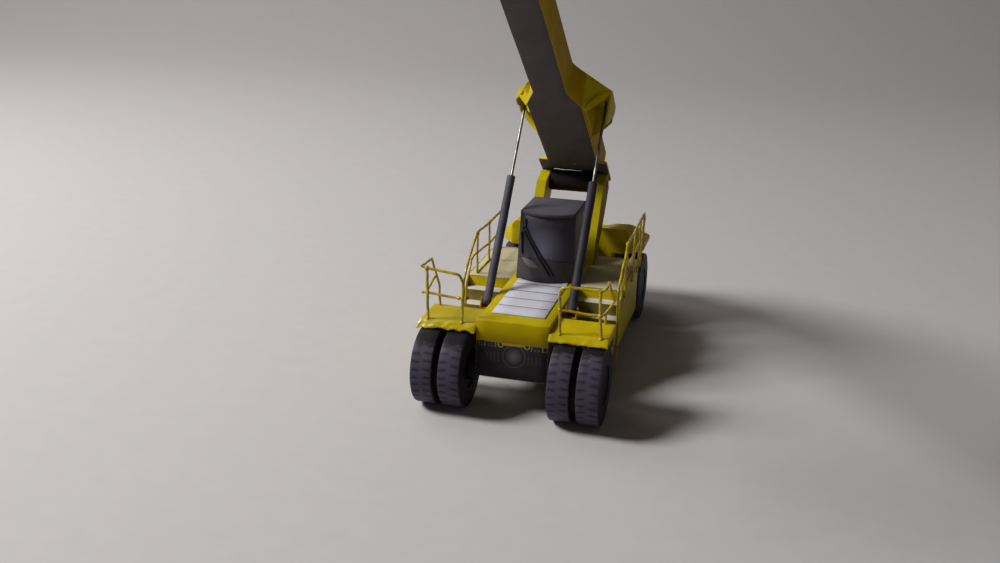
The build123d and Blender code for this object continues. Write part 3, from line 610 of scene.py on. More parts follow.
@dataclass(frozen=True)
class AxlePrint(PrintedCard):
    """Axle panel: a soft round hub, a tie bar between two rings, ticks and dots, inside a bare edge."""

    pale: Colour = (0.4, 0.4, 0.4)
    ink_yellow: Colour = (0.4, 0.35, 0.02)
    hub_grey: Colour = (0.1, 0.1, 0.1)
    half: float = 15.0
    foot: float = 15.05
    hub: tuple[float, float] = (1.0, 24.9)
    hub_radius: float = 4.7
    grille: tuple[tuple[float, float], ...] = ((-10.6, -4.4), (5.8, 12.8))
    grille_pitch: float = 1.6
    rings: tuple[tuple[float, float], ...] = ((-4.8, 29.4), (6.4, 29.7))
    ring_radius: float = 1.0
    ticks: tuple[tuple[float, float], ...] = ((-14.0, 0.35), (-11.4, 1.0), (-6.9, 0.6), (8.4, 0.6), (13.0, 1.0),
                                              (14.9, 0.5))
    tick_half: float = 0.18
    dots: tuple[float, ...] = (-12.7, -9.9, -8.4, 9.8, 11.3, 14.0)
    dot_height: float = 28.5
    dot_radius: float = 0.26

    def dress(self, graph: Graph, colour: Socket) -> Socket:
        """Draw the panel's print.

        Args:
            graph: the material's graph.
            colour: colour of the sheet.

        Returns:
            The colour with the print.
        """
        x, z = graph.axis("X"), graph.axis("Z")
        bars = graph.band(graph.stripes(x, self.grille_pitch, 50.0), 0.25, 0.75, 0.3)
        rows = graph.plus(*(graph.band(x, low, high, 0.4) for low, high in self.grille))
        colour = graph.draw(colour, self.hub_grey, bars, rows, graph.band(z, 22.0, 25.8, 0.6), 0.12)
        far = graph.reach(x, z, self.hub)
        disc = graph.inverse(graph.step(far, self.hub_radius * 0.35, self.hub_radius * 0.9))
        colour = graph.draw(colour, self.hub_grey, disc, 0.95)
        rim = graph.band(far, self.hub_radius - 0.2, self.hub_radius + 0.15, 0.25)
        colour = graph.draw(colour, self.hub_grey, rim, 0.35)
        level = graph.minus(z, graph.times(x, 0.03))
        bar = graph.band(x, self.rings[0][0], self.rings[1][0], 0.3)
        colour = graph.draw(colour, self.ink_yellow, bar, graph.band(level, 29.3, 30.35, 0.2), 0.9)
        for centre in self.rings:
            ring = graph.reach(x, z, centre)
            colour = graph.draw(colour, self.colour, graph.inverse(graph.step(ring, self.ring_radius, 0.15)))
            line = graph.band(ring, self.ring_radius - 0.2, self.ring_radius + 0.2, 0.15)
            colour = graph.draw(colour, self.ink_yellow, line)
        for place, strength in self.ticks:
            tick = graph.band(x, place - self.tick_half, place + self.tick_half, 0.15)
            colour = graph.draw(colour, self.ink_yellow, tick, graph.band(z, 28.2, 30.5, 0.2), strength)
        for place in self.dots:
            far = graph.reach(x, z, (place, self.dot_height))
            colour = graph.draw(colour, self.pale, graph.inverse(graph.step(far, self.dot_radius, 0.2)), 0.6)
        inner = graph.times(graph.band(x, -self.half, self.half, 0.1), graph.step(z, self.foot, 0.1))
        return graph.draw(colour, self.pale, graph.inverse(inner), 0.6)


@dataclass(frozen=True)
class VentPrint(PrintedCard):
    """Side panel: rows of dark, irregular vent slots and small plates along the machine."""

    ink: Colour = (0.02, 0.02, 0.02)
    start: float = 0.0
    end: float = 60.0
    level: float = 24.0
    pitch: float = 2.6
    row_share: float = 0.2
    rows: tuple[Point, ...] = ((0.06, 3.2, 6.0), (0.38, 2.4, 9.5), (0.62, 4.4, 5.0))

    def dress(self, graph: Graph, colour: Socket) -> Socket:
        """Draw the slots, each row by its share of the panel's length, its height and its drop below the top.

        Args:
            graph: the material's graph.
            colour: colour of the sheet.

        Returns:
            The colour with the slots.
        """
        y, z = graph.axis("Y"), graph.axis("Z")
        ragged = graph.plus(y, graph.times(graph.speckle(1.6), 1.2))
        slots = graph.band(graph.stripes(ragged, self.pitch, 60.0), 0.2, 0.62, 0.15)
        length = self.end - self.start
        for share, height, drop in self.rows:
            low, foot = self.start + share * length, self.level - drop
            patch = graph.times(graph.band(y, low, low + self.row_share * length, 0.4),
                                graph.band(z, foot, foot + height, 0.3))
            colour = graph.draw(colour, self.ink, slots, patch, 0.8)
        seam = graph.band(z, self.level - 1.2, self.level - 0.95, 0.12)
        return graph.draw(colour, self.ink, seam, 0.5)


@dataclass(frozen=True)
class Lacquer:
    """Paint brushed on wire: glossy, thick in places, browned by glue."""

    name: str
    colour: Colour
    dark: Colour
    roughness: float = 0.32

    def make(self) -> bpy.types.Material:
        """Build the material.

        Returns:
            The finished material.
        """
        graph = Graph(self.name)
        patch = graph.step(graph.speckle(3.5, 3.0), 0.52, 0.3)
        graph.feed(graph.shader.inputs["Base Color"], graph.mix(patch, self.colour, self.dark))
        graph.shader.inputs["Roughness"].default_value = self.roughness
        graph.bump(graph.speckle(0.7), 0.12, 0.5)
        return graph.material


@dataclass(frozen=True)
class BareWire:
    """Drawn steel wire, stained in places."""

    name: str
    colour: Colour

    def make(self) -> bpy.types.Material:
        """Build the material.

        Returns:
            The finished material.
        """
        graph = Graph(self.name)
        stain = graph.step(graph.speckle(5.0, 4.0), 0.55, 0.25)
        dull = tuple(c * 0.55 for c in self.colour)
        graph.feed(graph.shader.inputs["Base Color"], graph.mix(stain, self.colour, dull))
        graph.shader.inputs["Metallic"].default_value = 1.0
        graph.feed(graph.shader.inputs["Roughness"], graph.plus(0.30, graph.times(stain, 0.2)))
        graph.bump(graph.speckle(0.3, 1.0), 0.01, 0.15)
        return graph.material


YELLOW = tint(190, 170, 0)
YELLOW_WORN = tint(200, 184, 8)
DUST = tint(150, 146, 146)
CREAM_EDGE = tint(216, 211, 186)
BOOM_DARK = tint(80, 74, 75)
LILAC = tint(205, 204, 216)
CREAM = tint(205, 195, 158)
INK = tint(30, 28, 30)
TYRE_GREY = tint(74, 70, 86)
TYRE_SIDE = tint(34, 32, 37)
Finish = PrintedCard | Lacquer | BareWire


@dataclass
class Palette:
    """Materials shared by the sub-assemblies."""

    made: dict[str, bpy.types.Material] = field(default_factory=dict)

    def get(self, finish: Finish) -> bpy.types.Material:
        """Build a finish once and give its material.

        Args:
            finish: any finish.

        Returns:
            The material.
        """
        if finish.name not in self.made:
            self.made[finish.name] = finish.make()
        return self.made[finish.name]


PALETTE = Palette()
YELLOW_CARD = PrintedCard("yellow_card", YELLOW, 0.10, 0.50, fade=YELLOW_WORN)
FOLD = PrintedCard("worn_fold", tint(180, 160, 4), 0.2, 0.6)
BARE_EDGE = PrintedCard("bare_card_edge", CREAM_EDGE, 0.10, 0.85)
DARK_EDGE = PrintedCard("grey_card_edge", tint(120, 118, 116), 0.15, 0.8)
BLACK_CARD = PrintedCard("black_card", tint(22, 21, 23), 0.2, 0.6)
# One rolled paper in two copies: the left barrel's is darker as painted shade, the right barrel's paler as painted
# light.
BARREL_PAINTED_LIGHT_AND_SHADE = {
    Side.LEFT: PrintedCard("rolled_paper_left", tint(54, 52, 60), 0.2, 0.6, gloss=0.2, fade=tint(96, 93, 100)),
    Side.RIGHT: PrintedCard("rolled_paper_right", tint(80, 79, 90), 0.2, 0.6, gloss=0.2, fade=tint(120, 118, 126)),
}
YELLOW_WIRE = Lacquer("yellow_lacquer", tint(214, 192, 0), tint(176, 150, 6))
GLUE = Lacquer("glue_blob", tint(208, 182, 4), tint(160, 130, 6), 0.2)
STEEL_WIRE = BareWire("bare_steel_wire", tint(126, 120, 116))


# ---------------------------------------------------------------------------
# mesh work
# ---------------------------------------------------------------------------
def warp(point: Vector, amount: float, pitch: float) -> Vector:
    """Small wander of a hand-cut part, the same for all parts that meet at a point.

    Args:
        point: place in millimetres.
        amount: how far it wanders, in millimetres.
        pitch: distance over which the wander changes.

    Returns:
        The offset in millimetres.
    """
    return noise.noise_vector(point / pitch) * amount


Chooser = Callable[[Vector, Vector], int]
WELD = 2e-6
FOLD_ANGLE = math.radians(20.0)
SLIVER = 1e-7
LUMPS_ALONG = 0.15
LUMPS_ROUND = 2.2


@dataclass
class CardPiece:
    """A part of folded card, made from its CAD node with cut edges, folds and wander.

    The choice of finish for a face is made from its outward direction and its middle, in millimetres.
    """

    node: str
    body: str
    finishes: Sequence[Finish]
    choose: Chooser | None = None
    fold: Finish | None = None
    edge: Finish | None = None
    edge_width: float = 0.75
    bevel: float = 0.14
    wander: float = 0.12
    wander_pitch: float = 22.0
    cell: float = 6.0
    shading: Shading = Shading.CREASED
    shape: Callable[[Vector], Vector] | None = None

    def _solid(self) -> bmesh.types.BMesh:
        """Copy the node's mesh, merge it and drop the edges inside flat faces.

        Returns:
            The merged solid, in metres.
        """
        mesh = bmesh.new()
        mesh.from_mesh(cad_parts[self.node].data)
        bmesh.ops.remove_doubles(mesh, verts=mesh.verts, dist=WELD)
        bmesh.ops.dissolve_limit(mesh, angle_limit=math.radians(1.0), verts=mesh.verts, edges=mesh.edges,
                                 delimit=set())
        mesh.normal_update()
        return mesh

    def _mark(self, mesh: bmesh.types.BMesh) -> None:
        """Give each face its finish, and narrow faces the cut edge's.

        Args:
            mesh: the merged solid.
        """
        for face in mesh.faces:
            index = self.choose(face.normal, face.calc_center_median() / MM) if self.choose else 0
            longest = max(edge.calc_length() for edge in face.edges)
            if self.edge is not None and face.calc_area() / max(longest, 1e-9) < self.edge_width * MM:
                index = len(self.finishes) + 1
            face.material_index = index

    def _bevel(self, mesh: bmesh.types.BMesh) -> None:
        """Round the folds a little, in the fold's own finish.

        Args:
            mesh: the merged solid.
        """
        sharp = [edge for edge in mesh.edges
                 if len(edge.link_faces) == 2 and edge.calc_face_angle(0.0) > FOLD_ANGLE]
        bmesh.ops.bevel(mesh, geom=sharp, offset=self.bevel * MM, offset_type="OFFSET", segments=1, profile=0.7,
                        affect="EDGES", clamp_overlap=True,
                        material=len(self.finishes) if self.fold is not None else -1)

    def _divide(self, mesh: bmesh.types.BMesh) -> None:
        """Cut the faces into cells small enough to wander.

        Args:
            mesh: the bevelled solid.
        """
        for axis in range(3):
            places = [vertex.co[axis] for vertex in mesh.verts]
            low, high = min(places), max(places)
            cuts = int((high - low) / (self.cell * MM))
            normal = Vector([float(k == axis) for k in range(3)])
            for k in range(1, cuts + 1):
                point = normal * (low + (high - low) * k / (cuts + 1))
                bmesh.ops.bisect_plane(mesh, geom=mesh.verts[:] + mesh.edges[:] + mesh.faces[:], plane_co=point,
                                       plane_no=normal, dist=SLIVER)
        bmesh.ops.triangulate(mesh, faces=mesh.faces)

    def build(self) -> bpy.types.Object:
        """Make the piece and put it in its CAD node's place.

        Returns:
            The finished piece.
        """
        mesh = self._solid()
        self._mark(mesh)
        if self.bevel > 0:
            self._bevel(mesh)
        self._divide(mesh)
        for vertex in mesh.verts:
            place = vertex.co / MM
            if self.shape is not None:
                place = self.shape(place)
            vertex.co = (place + warp(place, self.wander, self.wander_pitch)) * MM
        finishes = [*self.finishes, self.fold or self.finishes[0], self.edge or self.finishes[0]]
        return finish_piece(f"{self.node}_card", mesh, finishes, self.body, (self.node,), self.shading)


def finish_piece(name: str, mesh: bmesh.types.BMesh, finishes: Iterable[Finish], body: str,
                 nodes: Sequence[str] = (), shading: Shading = Shading.CREASED) -> bpy.types.Object:
    """Turn a bmesh into a piece that rides on a body.

    Args:
        name: the piece's name.
        mesh: its shape in metres; it is freed.
        finishes: one finish for each material index.
        body: CAD body that it rides on.
        nodes: CAD nodes that it stands for.
        shading: how its faces meet.

    Returns:
        The piece.
    """
    data = bpy.data.meshes.new(name)
    mesh.to_mesh(data)
    mesh.free()
    return place_mesh(name, data, finishes, body, nodes, shading)


def place_mesh(name: str, data: bpy.types.Mesh, finishes: Iterable[Finish], body: str,
               nodes: Sequence[str] = (), shading: Shading = Shading.CREASED) -> bpy.types.Object:
    """Put a plain mesh in the scene as a piece.

    Args:
        name: the piece's name.
        data: its mesh in metres.
        finishes: one finish for each material index.
        body: CAD body that it rides on.
        nodes: CAD nodes that it stands for.
        shading: how its faces meet.

    Returns:
        The piece.
    """
    for finish in finishes:
        data.materials.append(PALETTE.get(finish))
    if shading is not Shading.FLAT:
        data.shade_smooth()
        data.set_sharp_from_angle(angle=math.radians(shading.value))
    piece = bpy.data.objects.new(name, data)
    bpy.context.scene.collection.objects.link(piece)
    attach(piece, body)
    if nodes:
        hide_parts(*nodes)
    LOG.info("%s rides on %s: %d faces", name, body, len(data.polygons))
    return piece


def absorb(whole: bmesh.types.BMesh, part: bpy.types.Mesh) -> None:
    """Add a mesh to a bmesh and delete it.

    Args:
        whole: what it is added to.
        part: the mesh.
    """
    whole.from_mesh(part)
    bpy.data.meshes.remove(part)


def keep_node(node: str, finish: Finish) -> None:
    """Show a CAD node as it is, in a better material.

    Args:
        node: the CAD node.
        finish: its finish.
    """
    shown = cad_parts[node]
    for slot in shown.material_slots:
        slot.link = "OBJECT"
        slot.material = PALETTE.get(finish)
    LOG.info("%s keeps its CAD shape", node)


def slab_mesh(rows: Sequence[Sequence[Vector]], thickness: Vector) -> bmesh.types.BMesh:
    """Close a thin sheet of card over a grid of points.

    Args:
        rows: rows of points in millimetres, all equally long.
        thickness: way from the given face to the other one, in millimetres.

    Returns:
        The sheet as a closed bmesh in metres.
    """
    mesh = bmesh.new()
    near = [[mesh.verts.new(point * MM) for point in row] for row in rows]
    far = [[mesh.verts.new((point + thickness) * MM) for point in row] for row in rows]
    last, end = len(rows) - 1, len(rows[0]) - 1
    for r in range(last):
        for c in range(end):
            mesh.faces.new((near[r][c], near[r][c + 1], near[r + 1][c + 1], near[r + 1][c]))
            mesh.faces.new((far[r][c], far[r + 1][c], far[r + 1][c + 1], far[r][c + 1]))
    rim = [(0, c) for c in range(end)] + [(r, end) for r in range(last)]
    rim += [(last, c) for c in range(end, 0, -1)] + [(r, 0) for r in range(last, 0, -1)]
    for (r, c), (r2, c2) in zip(rim, rim[1:] + rim[:1]):
        mesh.faces.new((near[r][c], near[r2][c2], far[r2][c2], far[r][c]))
    bmesh.ops.recalc_face_normals(mesh, faces=mesh.faces)
    return mesh


def ring_mesh(profile: Sequence[tuple[float, float, int]], centre: Vector, steps: int,
              wobble: float = 0.0) -> bmesh.types.BMesh:
    """Revolve a closed profile about a line along X.

    Args:
        profile: (x, radius, material) of each corner; the material is of the face that follows it.
        centre: a point on the axis.
        steps: facets round the axis.
        wobble: how unevenly the radius runs, in millimetres.

    Returns:
        The ring as a bmesh in metres.
    """
    mesh = bmesh.new()
    rings = []
    outer = 0.7 * max(radius for _, radius, _ in profile)
    for k in range(steps):
        angle = math.tau * k / steps
        ring = []
        for x, radius, _ in profile:
            place = Vector((x * LUMPS_ALONG, math.cos(angle) * LUMPS_ROUND, math.sin(angle) * LUMPS_ROUND))
            reach = radius + (noise.noise(place) * wobble if radius > outer else 0.0)
            ring.append(mesh.verts.new(Vector((x, centre.y + reach * math.cos(angle),
                                               centre.z + reach * math.sin(angle))) * MM))
        rings.append(ring)
    count = len(profile)
    for k in range(steps):
        near, far = rings[k], rings[(k + 1) % steps]
        for i in range(count):
            face = mesh.faces.new((near[i], near[(i + 1) % count], far[(i + 1) % count], far[i]))
            face.material_index = profile[i][2]
    bmesh.ops.recalc_face_normals(mesh, faces=mesh.faces)
    return mesh


# ---------------------------------------------------------------------------
# Geometry Nodes
# ---------------------------------------------------------------------------
@dataclass
class NodeRecipe(Wiring):
    """A Geometry Nodes tree with named inputs, run once on a piece's guide mesh."""

    name: str
    floats: dict[str, float]
    materials: tuple[str, ...]

    def __post_init__(self) -> None:
        """Make the tree, its interface and its group input."""
        super().__init__(bpy.data.node_groups.new(self.name, "GeometryNodeTree"))
        self.tree.interface.new_socket("Geometry", in_out="INPUT", socket_type="NodeSocketGeometry")
        for name, value in self.floats.items():
            socket = self.tree.interface.new_socket(name, in_out="INPUT", socket_type="NodeSocketFloat")
            socket.default_value = value
        for name in self.materials:
            self.tree.interface.new_socket(name, in_out="INPUT", socket_type="NodeSocketMaterial")
        self.tree.interface.new_socket("Geometry", in_out="OUTPUT", socket_type="NodeSocketGeometry")
        self.entry = self.tree.nodes.new("NodeGroupInput")
        self.exit = self.tree.nodes.new("NodeGroupOutput")

    def node(self, kind: str, settings: dict[str, object] | None = None, **inputs: object) -> bpy.types.Node:
        """Add a node.

        Args:
            kind: the node's type name.
            settings: properties of the node.
            inputs: values or output sockets by input name, with _ for a space.

        Returns:
            The node.
        """
        node = self.tree.nodes.new(kind)
        for key, value in (settings or {}).items():
            setattr(node, key, value)
        for key, value in inputs.items():
            name = key.replace("_", " ")
            socket = next(s for s in node.inputs if s.name == name and s.enabled)
            self.feed(socket, value)
        return node

    def given(self, name: str) -> Socket:
        """The group input's socket of that name."""
        return self.entry.outputs[name]

    def finish(self, parts: Sequence[Socket]) -> None:
        """Join the parts, realize them and end the tree.

        Args:
            parts: geometry sockets.
        """
        join = self.tree.nodes.new("GeometryNodeJoinGeometry")
        for part in parts:
            self.tree.links.new(part, join.inputs[0])
        real = self.node("GeometryNodeRealizeInstances", Geometry=join.outputs[0])
        self.tree.links.new(real.outputs[0], self.exit.inputs[0])

    def run(self, guide: bpy.types.Mesh, finishes: dict[str, object], **values: float) -> bpy.types.Mesh:
        """Run the tree on a guide mesh.

        Args:
            guide: mesh that the tree starts from; it is used up.
            finishes: finish for each material input.
            values: sizes that differ from the defaults, with _ for a space.

        Returns:
            The result as a plain mesh.
        """
        carrier = bpy.data.objects.new("guide", guide)
        bpy.context.scene.collection.objects.link(carrier)
        modifier = carrier.modifiers.new("nodes", "NODES")
        modifier.node_group = self.tree
        wanted = {key.replace("_", " "): value for key, value in values.items()}
        for item in self.tree.interface.items_tree:
            if item.item_type != "SOCKET" or item.in_out != "INPUT":
                continue
            if item.name in wanted:
                modifier[item.identifier] = float(wanted[item.name])
            elif item.name in finishes:
                modifier[item.identifier] = PALETTE.get(finishes[item.name])
        evaluated = carrier.evaluated_get(bpy.context.evaluated_depsgraph_get())
        mesh = bpy.data.meshes.new_from_object(evaluated)
        carrier.modifiers.remove(modifier)
        bpy.data.objects.remove(carrier)
        return mesh


class BentWire(NodeRecipe):
    """Soft wire bent by hand along each run of the guide, with a blob of glue at each marked joint."""

    def __init__(self) -> None:
        """Build the tree."""
        super().__init__("bent_wire", {"Wire Radius": 0.5, "Bend Radius": 2.0, "Wander": 0.25, "Blob Radius": 0.8},
                         ("Wire", "Glue"))
        place = self.node("GeometryNodeInputPosition")
        offset = self.node("ShaderNodeVectorMath", {"operation": "SCALE"})
        self.feed(offset.inputs[0], self._wander(130.0, Vector=place.outputs[0]))
        self.feed(offset.inputs["Scale"], self.given("Wander"))
        self.finish([self._wire(offset.outputs[0]), self._blobs(offset.outputs[0])])

    def _wander(self, scale: float, **inputs: object) -> Socket:
        """Noise vector about zero.

        Args:
            scale: the noise's scale.
            inputs: other inputs of the noise node.

        Returns:
            The vector's socket.
        """
        rough = self.node("ShaderNodeTexNoise", {"noise_dimensions": "3D"}, Scale=scale, Detail=1.0, **inputs)
        centred = self.node("ShaderNodeVectorMath", {"operation": "SUBTRACT"})
        self.feed(centred.inputs[0], rough.outputs["Color"])
        centred.inputs[1].default_value = (0.5, 0.5, 0.5)
        return centred.outputs[0]

    def _wire(self, offset: Socket) -> Socket:
        """Round wire along each run, with filleted bends.

        Args:
            offset: how far each place wanders.

        Returns:
            The wire's geometry.
        """
        curve = self.node("GeometryNodeMeshToCurve", Mesh=self.given("Geometry"))
        fillet = self.node("GeometryNodeFilletCurve", {"mode": "POLY"}, Curve=curve.outputs[0],
                           Radius=self.given("Bend Radius"), Limit_Radius=True)
        fillet.inputs["Count"].default_value = 6
        even = self.node("GeometryNodeResampleCurve", {"mode": "LENGTH"}, Curve=fillet.outputs[0], Length=0.7 * MM)
        moved = self.node("GeometryNodeSetPosition", Geometry=even.outputs[0], Offset=offset)
        ring = self.node("GeometryNodeCurvePrimitiveCircle", {"mode": "RADIUS"}, Radius=self.given("Wire Radius"))
        ring.inputs["Resolution"].default_value = 10
        tube = self.node("GeometryNodeCurveToMesh", Curve=moved.outputs[0], Profile_Curve=ring.outputs[0],
                         Fill_Caps=True)
        return self.node("GeometryNodeSetMaterial", Geometry=tube.outputs[0], Material=self.given("Wire")).outputs[0]

    def _blobs(self, offset: Socket) -> Socket:
        """Uneven drops of glue on the points that are marked with a size.

        Args:
            offset: how far each place wanders.

        Returns:
            The drops' geometry.
        """
        size = self.node("GeometryNodeInputNamedAttribute", {"data_type": "FLOAT"}, Name="blob").outputs["Attribute"]
        has_blob = self.node("FunctionNodeCompare", {"data_type": "FLOAT", "operation": "GREATER_THAN"}, A=size, B=0.01)
        points = self.node("GeometryNodeMeshToPoints", {"mode": "VERTICES"}, Mesh=self.given("Geometry"),
                           Selection=has_blob.outputs[0])
        placed = self.node("GeometryNodeSetPosition", Geometry=points.outputs[0], Offset=offset)
        lump = self.node("GeometryNodeMeshIcoSphere", Radius=1.0)
        lump.inputs["Subdivisions"].default_value = 3
        uneven = self.node("GeometryNodeSetPosition", Geometry=lump.outputs[0], Offset=self._wander(1.3))
        turn = self.node("FunctionNodeRandomValue", {"data_type": "FLOAT_VECTOR"}, Seed=7)
        turn.inputs[1].default_value = (6.28, 6.28, 6.28)
        blobs = self.node("GeometryNodeInstanceOnPoints", Points=placed.outputs[0], Instance=uneven.outputs[0],
                          Rotation=turn.outputs[0], Scale=self.times(size, self.given("Blob Radius")))
        real = self.node("GeometryNodeRealizeInstances", Geometry=blobs.outputs[0])
        smooth = self.node("GeometryNodeSetShadeSmooth", Geometry=real.outputs[0])
        return self.node("GeometryNodeSetMaterial", Geometry=smooth.outputs[0], Material=self.given("Glue")).outputs[0]


class StripRow(NodeRecipe):
    """Equal strips of card laid side by side at a pitch."""

    def __init__(self) -> None:
        """Build the tree."""
        super().__init__("strip_row", {"Count": 4.0, "Pitch": 9.6, "Width": 20.0, "Depth": 0.5, "Height": 0.3},
                         ("Strip",))
        size = self.node("ShaderNodeCombineXYZ", X=self.given("Width"), Y=self.given("Depth"),
                         Z=self.given("Height"))
        strip = self.node("GeometryNodeMeshCube", Size=size.outputs[0])
        step = self.node("ShaderNodeCombineXYZ", Y=self.given("Pitch"))
        count = self.node("FunctionNodeFloatToInt", Float=self.given("Count"))
        line = self.node("GeometryNodeMeshLine", {"mode": "OFFSET"}, Count=count.outputs[0], Offset=step.outputs[0])
        origin = self.node("GeometryNodeMeshToPoints", {"mode": "VERTICES"}, Mesh=self.given("Geometry"))
        row = self.node("GeometryNodeInstanceOnPoints", Points=line.outputs[0], Instance=strip.outputs[0])
        rows = self.node("GeometryNodeInstanceOnPoints", Points=origin.outputs[0], Instance=row.outputs[0])
        real = self.node("GeometryNodeRealizeInstances", Geometry=rows.outputs[0])
        named = self.node("GeometryNodeSetMaterial", Geometry=real.outputs[0], Material=self.given("Strip"))
        self.finish([named.outputs[0]])


def guide_mesh(runs: Sequence[Sequence[tuple[Point, float]]]) -> bpy.types.Mesh:
    """Make a mesh of separate runs, each a chain of edges.

    Args:
        runs: for each run, its points in millimetres with the relative size of the glue blob there.

    Returns:
        The mesh, in metres, with the blob sizes as an attribute.
    """
    places: list[Vector] = []
    edges: list[tuple[int, int]] = []
    blobs: list[float] = []
    for run in runs:
        first = len(places)
        for point, blob in run:
            places.append(Vector(point) * MM)
            blobs.append(blob)
        edges += [(k, k + 1) for k in range(first, len(places) - 1)]
    mesh = bpy.data.meshes.new("guide")
    mesh.from_pydata(places, edges, [])
    attribute = mesh.attributes.new("blob", "FLOAT", "POINT")
    attribute.data.foreach_set("value", blobs)
    return mesh


# ---------------------------------------------------------------------------
# sub-assemblies
# ---------------------------------------------------------------------------
AXLE_Y = Box.of("front_axle").centre.y
BOOM_RISE = math.radians(37.36)
BOOM_ALONG = Vector((0.0, -math.cos(BOOM_RISE), math.sin(BOOM_RISE)))
BOOM_ABOVE = Vector((0.0, math.sin(BOOM_RISE), math.cos(BOOM_RISE)))


def ease(share: float) -> float:
    """Smooth rise from 0 to 1 as a share goes from 0 to 1."""
    share = min(1.0, max(0.0, share))
    return share * share * (3.0 - 2.0 * share)


def up_down(top: int, side: int, under: int) -> Chooser:
    """Choose a finish by whether a face looks up, sideways or down.

    Args:
        top: index for faces that look up.
        side: index for upright faces.
        under: index for faces that look down.

    Returns:
        The chooser.
    """
    def choose(normal: Vector, _: Vector) -> int:
        """Index for one face."""
        if normal.z > 0.5:
            return top
        return under if normal.z < -0.5 else side

    return choose


@dataclass
class Wheel:
    """Rolled card tyres of one wheel, with printed tread, and the black drum inside them."""

    axle: Axle
    side: Side
    radius: float = 16.7
    shoulder: float = 0.55
    crown: float = 0.05
    rim: float = 8.45
    lip: float = 0.45
    steps: int = 120
    unevenness: float = 0.16
    twin_gap: float = 2.6
    shade_arc_ends: dict[Side, float] = field(default_factory=lambda: {Side.LEFT: 2.22, Side.RIGHT: 2.42})

    @property
    def tag(self) -> str:
        """The wheel's name."""
        return f"{self.axle.value}_tyre_{self.side.tag}"

    @property
    def body(self) -> str:
        """The body that the wheel rides on."""
        word = "wheels" if self.axle is Axle.FRONT else "wheel"
        return f"{self.axle.value}_{word}_{self.side.tag}"

    def _profile(self, low: float, high: float) -> list[tuple[float, float, int]]:
        """Corners of one tyre's section.

        Args:
            low: the tyre's low X.
            high: its high X.

        Returns:
            X, radius and finish of each corner.
        """
        r, s, lip, rim = self.radius, self.shoulder, self.lip, self.rim
        crown, width = r + self.crown, high - low
        return [
            (low, rim, 1), (low, r - s - 0.35, 2), (low + 0.06, r - s, 2), (low + s * 0.45, r - 0.12, 0),
            (low + s, r, 0), (low + width * 0.32, crown, 0), (low + width * 0.68, crown, 0),
            (high - s, r, 0), (high - s * 0.45, r - 0.12, 2), (high - 0.06, r - s, 2), (high, r - s - 0.35, 1),
            (high, rim, 1), (high - lip, rim, 1), (low + lip, rim, 1),
        ]

    def _spans(self, box: Box) -> list[tuple[float, float]]:
        """Low and high X of each tyre, two of them on the front axle.

        Args:
            box: box of the wheel's tyres.

        Returns:
            The spans.
        """
        if self.axle is Axle.REAR:
            return [(box.low.x, box.high.x)]
        width = (box.size.x - self.twin_gap) / 2
        return [(box.low.x, box.low.x + width), (box.high.x - width, box.high.x)]

    def build(self) -> None:
        """Make the tyres, and dress the drum's node."""
        box = Box.of(self.tag)
        centre, spans = box.centre, self._spans(box)
        whole = bmesh.new()
        for low, high in spans:
            tyre = ring_mesh(self._profile(low, high), centre, self.steps, self.unevenness)
            part = bpy.data.meshes.new("tyre")
            tyre.to_mesh(part)
            tyre.free()
            absorb(whole, part)
        # The front tyres' tread gets an arc of painted shade where the wings shadow it.
        tread = TyrePrint(f"tread_{self.tag}", TYRE_GREY, 0.10, 0.45, axis_y=centre.y, axis_z=centre.z,
                          radius=self.radius, starts=tuple(low for low, _ in spans), width=spans[0][1] - spans[0][0],
                          ink=INK, fade=tint(120, 116, 130),
                          shade_arc_end=self.shade_arc_ends[self.side] if self.axle is Axle.FRONT else 0.0)
        finish_piece(f"{self.tag}_drum", whole, (tread, SIDEWALL, SHOULDER), self.body, (self.tag,))
        keep_node(self.tag.replace("tyre", "hub"), BLACK_CARD)


@dataclass
class FrontFrame:
    """The card box between the front wheels, its two front panels and the deck's white panel."""

    strip_depth: float = 0.32
    strip_height: float = 0.22
    strip_inset: float = 0.3
    strip_sunk: float = 0.05
    pitch: float = 9.6
    count: int = 4

    def build(self) -> None:
        """Make the frame's pieces."""
        CardPiece("chassis_box", "chassis", (YELLOW_CARD, DARK_CARD), up_down(0, 0, 1), FOLD).build()
        CardPiece("front_panel", "chassis", (FASCIA,), None, FOLD, FOLD, cell=5.0).build()
        CardPiece("axle_panel", "chassis", (AXLE_PRINT,), None, DARK_EDGE, DARK_EDGE, cell=5.0).build()
        CardPiece("deck_louvre", "chassis", (LOUVRE_CARD,), None, BARE_EDGE, BARE_EDGE, edge_width=0.4,
                  bevel=0.05).build()
        self._strips()
        for node in ("front_axle", "rear_axle"):
            keep_node(node, BLACK_CARD)

    def _strips(self) -> None:
        """Lay the dark strips across the white panel."""
        box = Box.of("deck_louvre")
        start = (0.0, box.low.y + self.pitch, box.high.z - self.strip_sunk)
        mesh = STRIPS.run(guide_mesh([[(start, 0.0)]]), {"Strip": INK_STRIP}, Count=self.count,
                          Pitch=self.pitch * MM, Width=(box.size.x - 2 * self.strip_inset) * MM,
                          Depth=self.strip_depth * MM, Height=self.strip_height * MM)
        place_mesh("deck_strips", mesh, (), "chassis", (), Shading.FLAT)


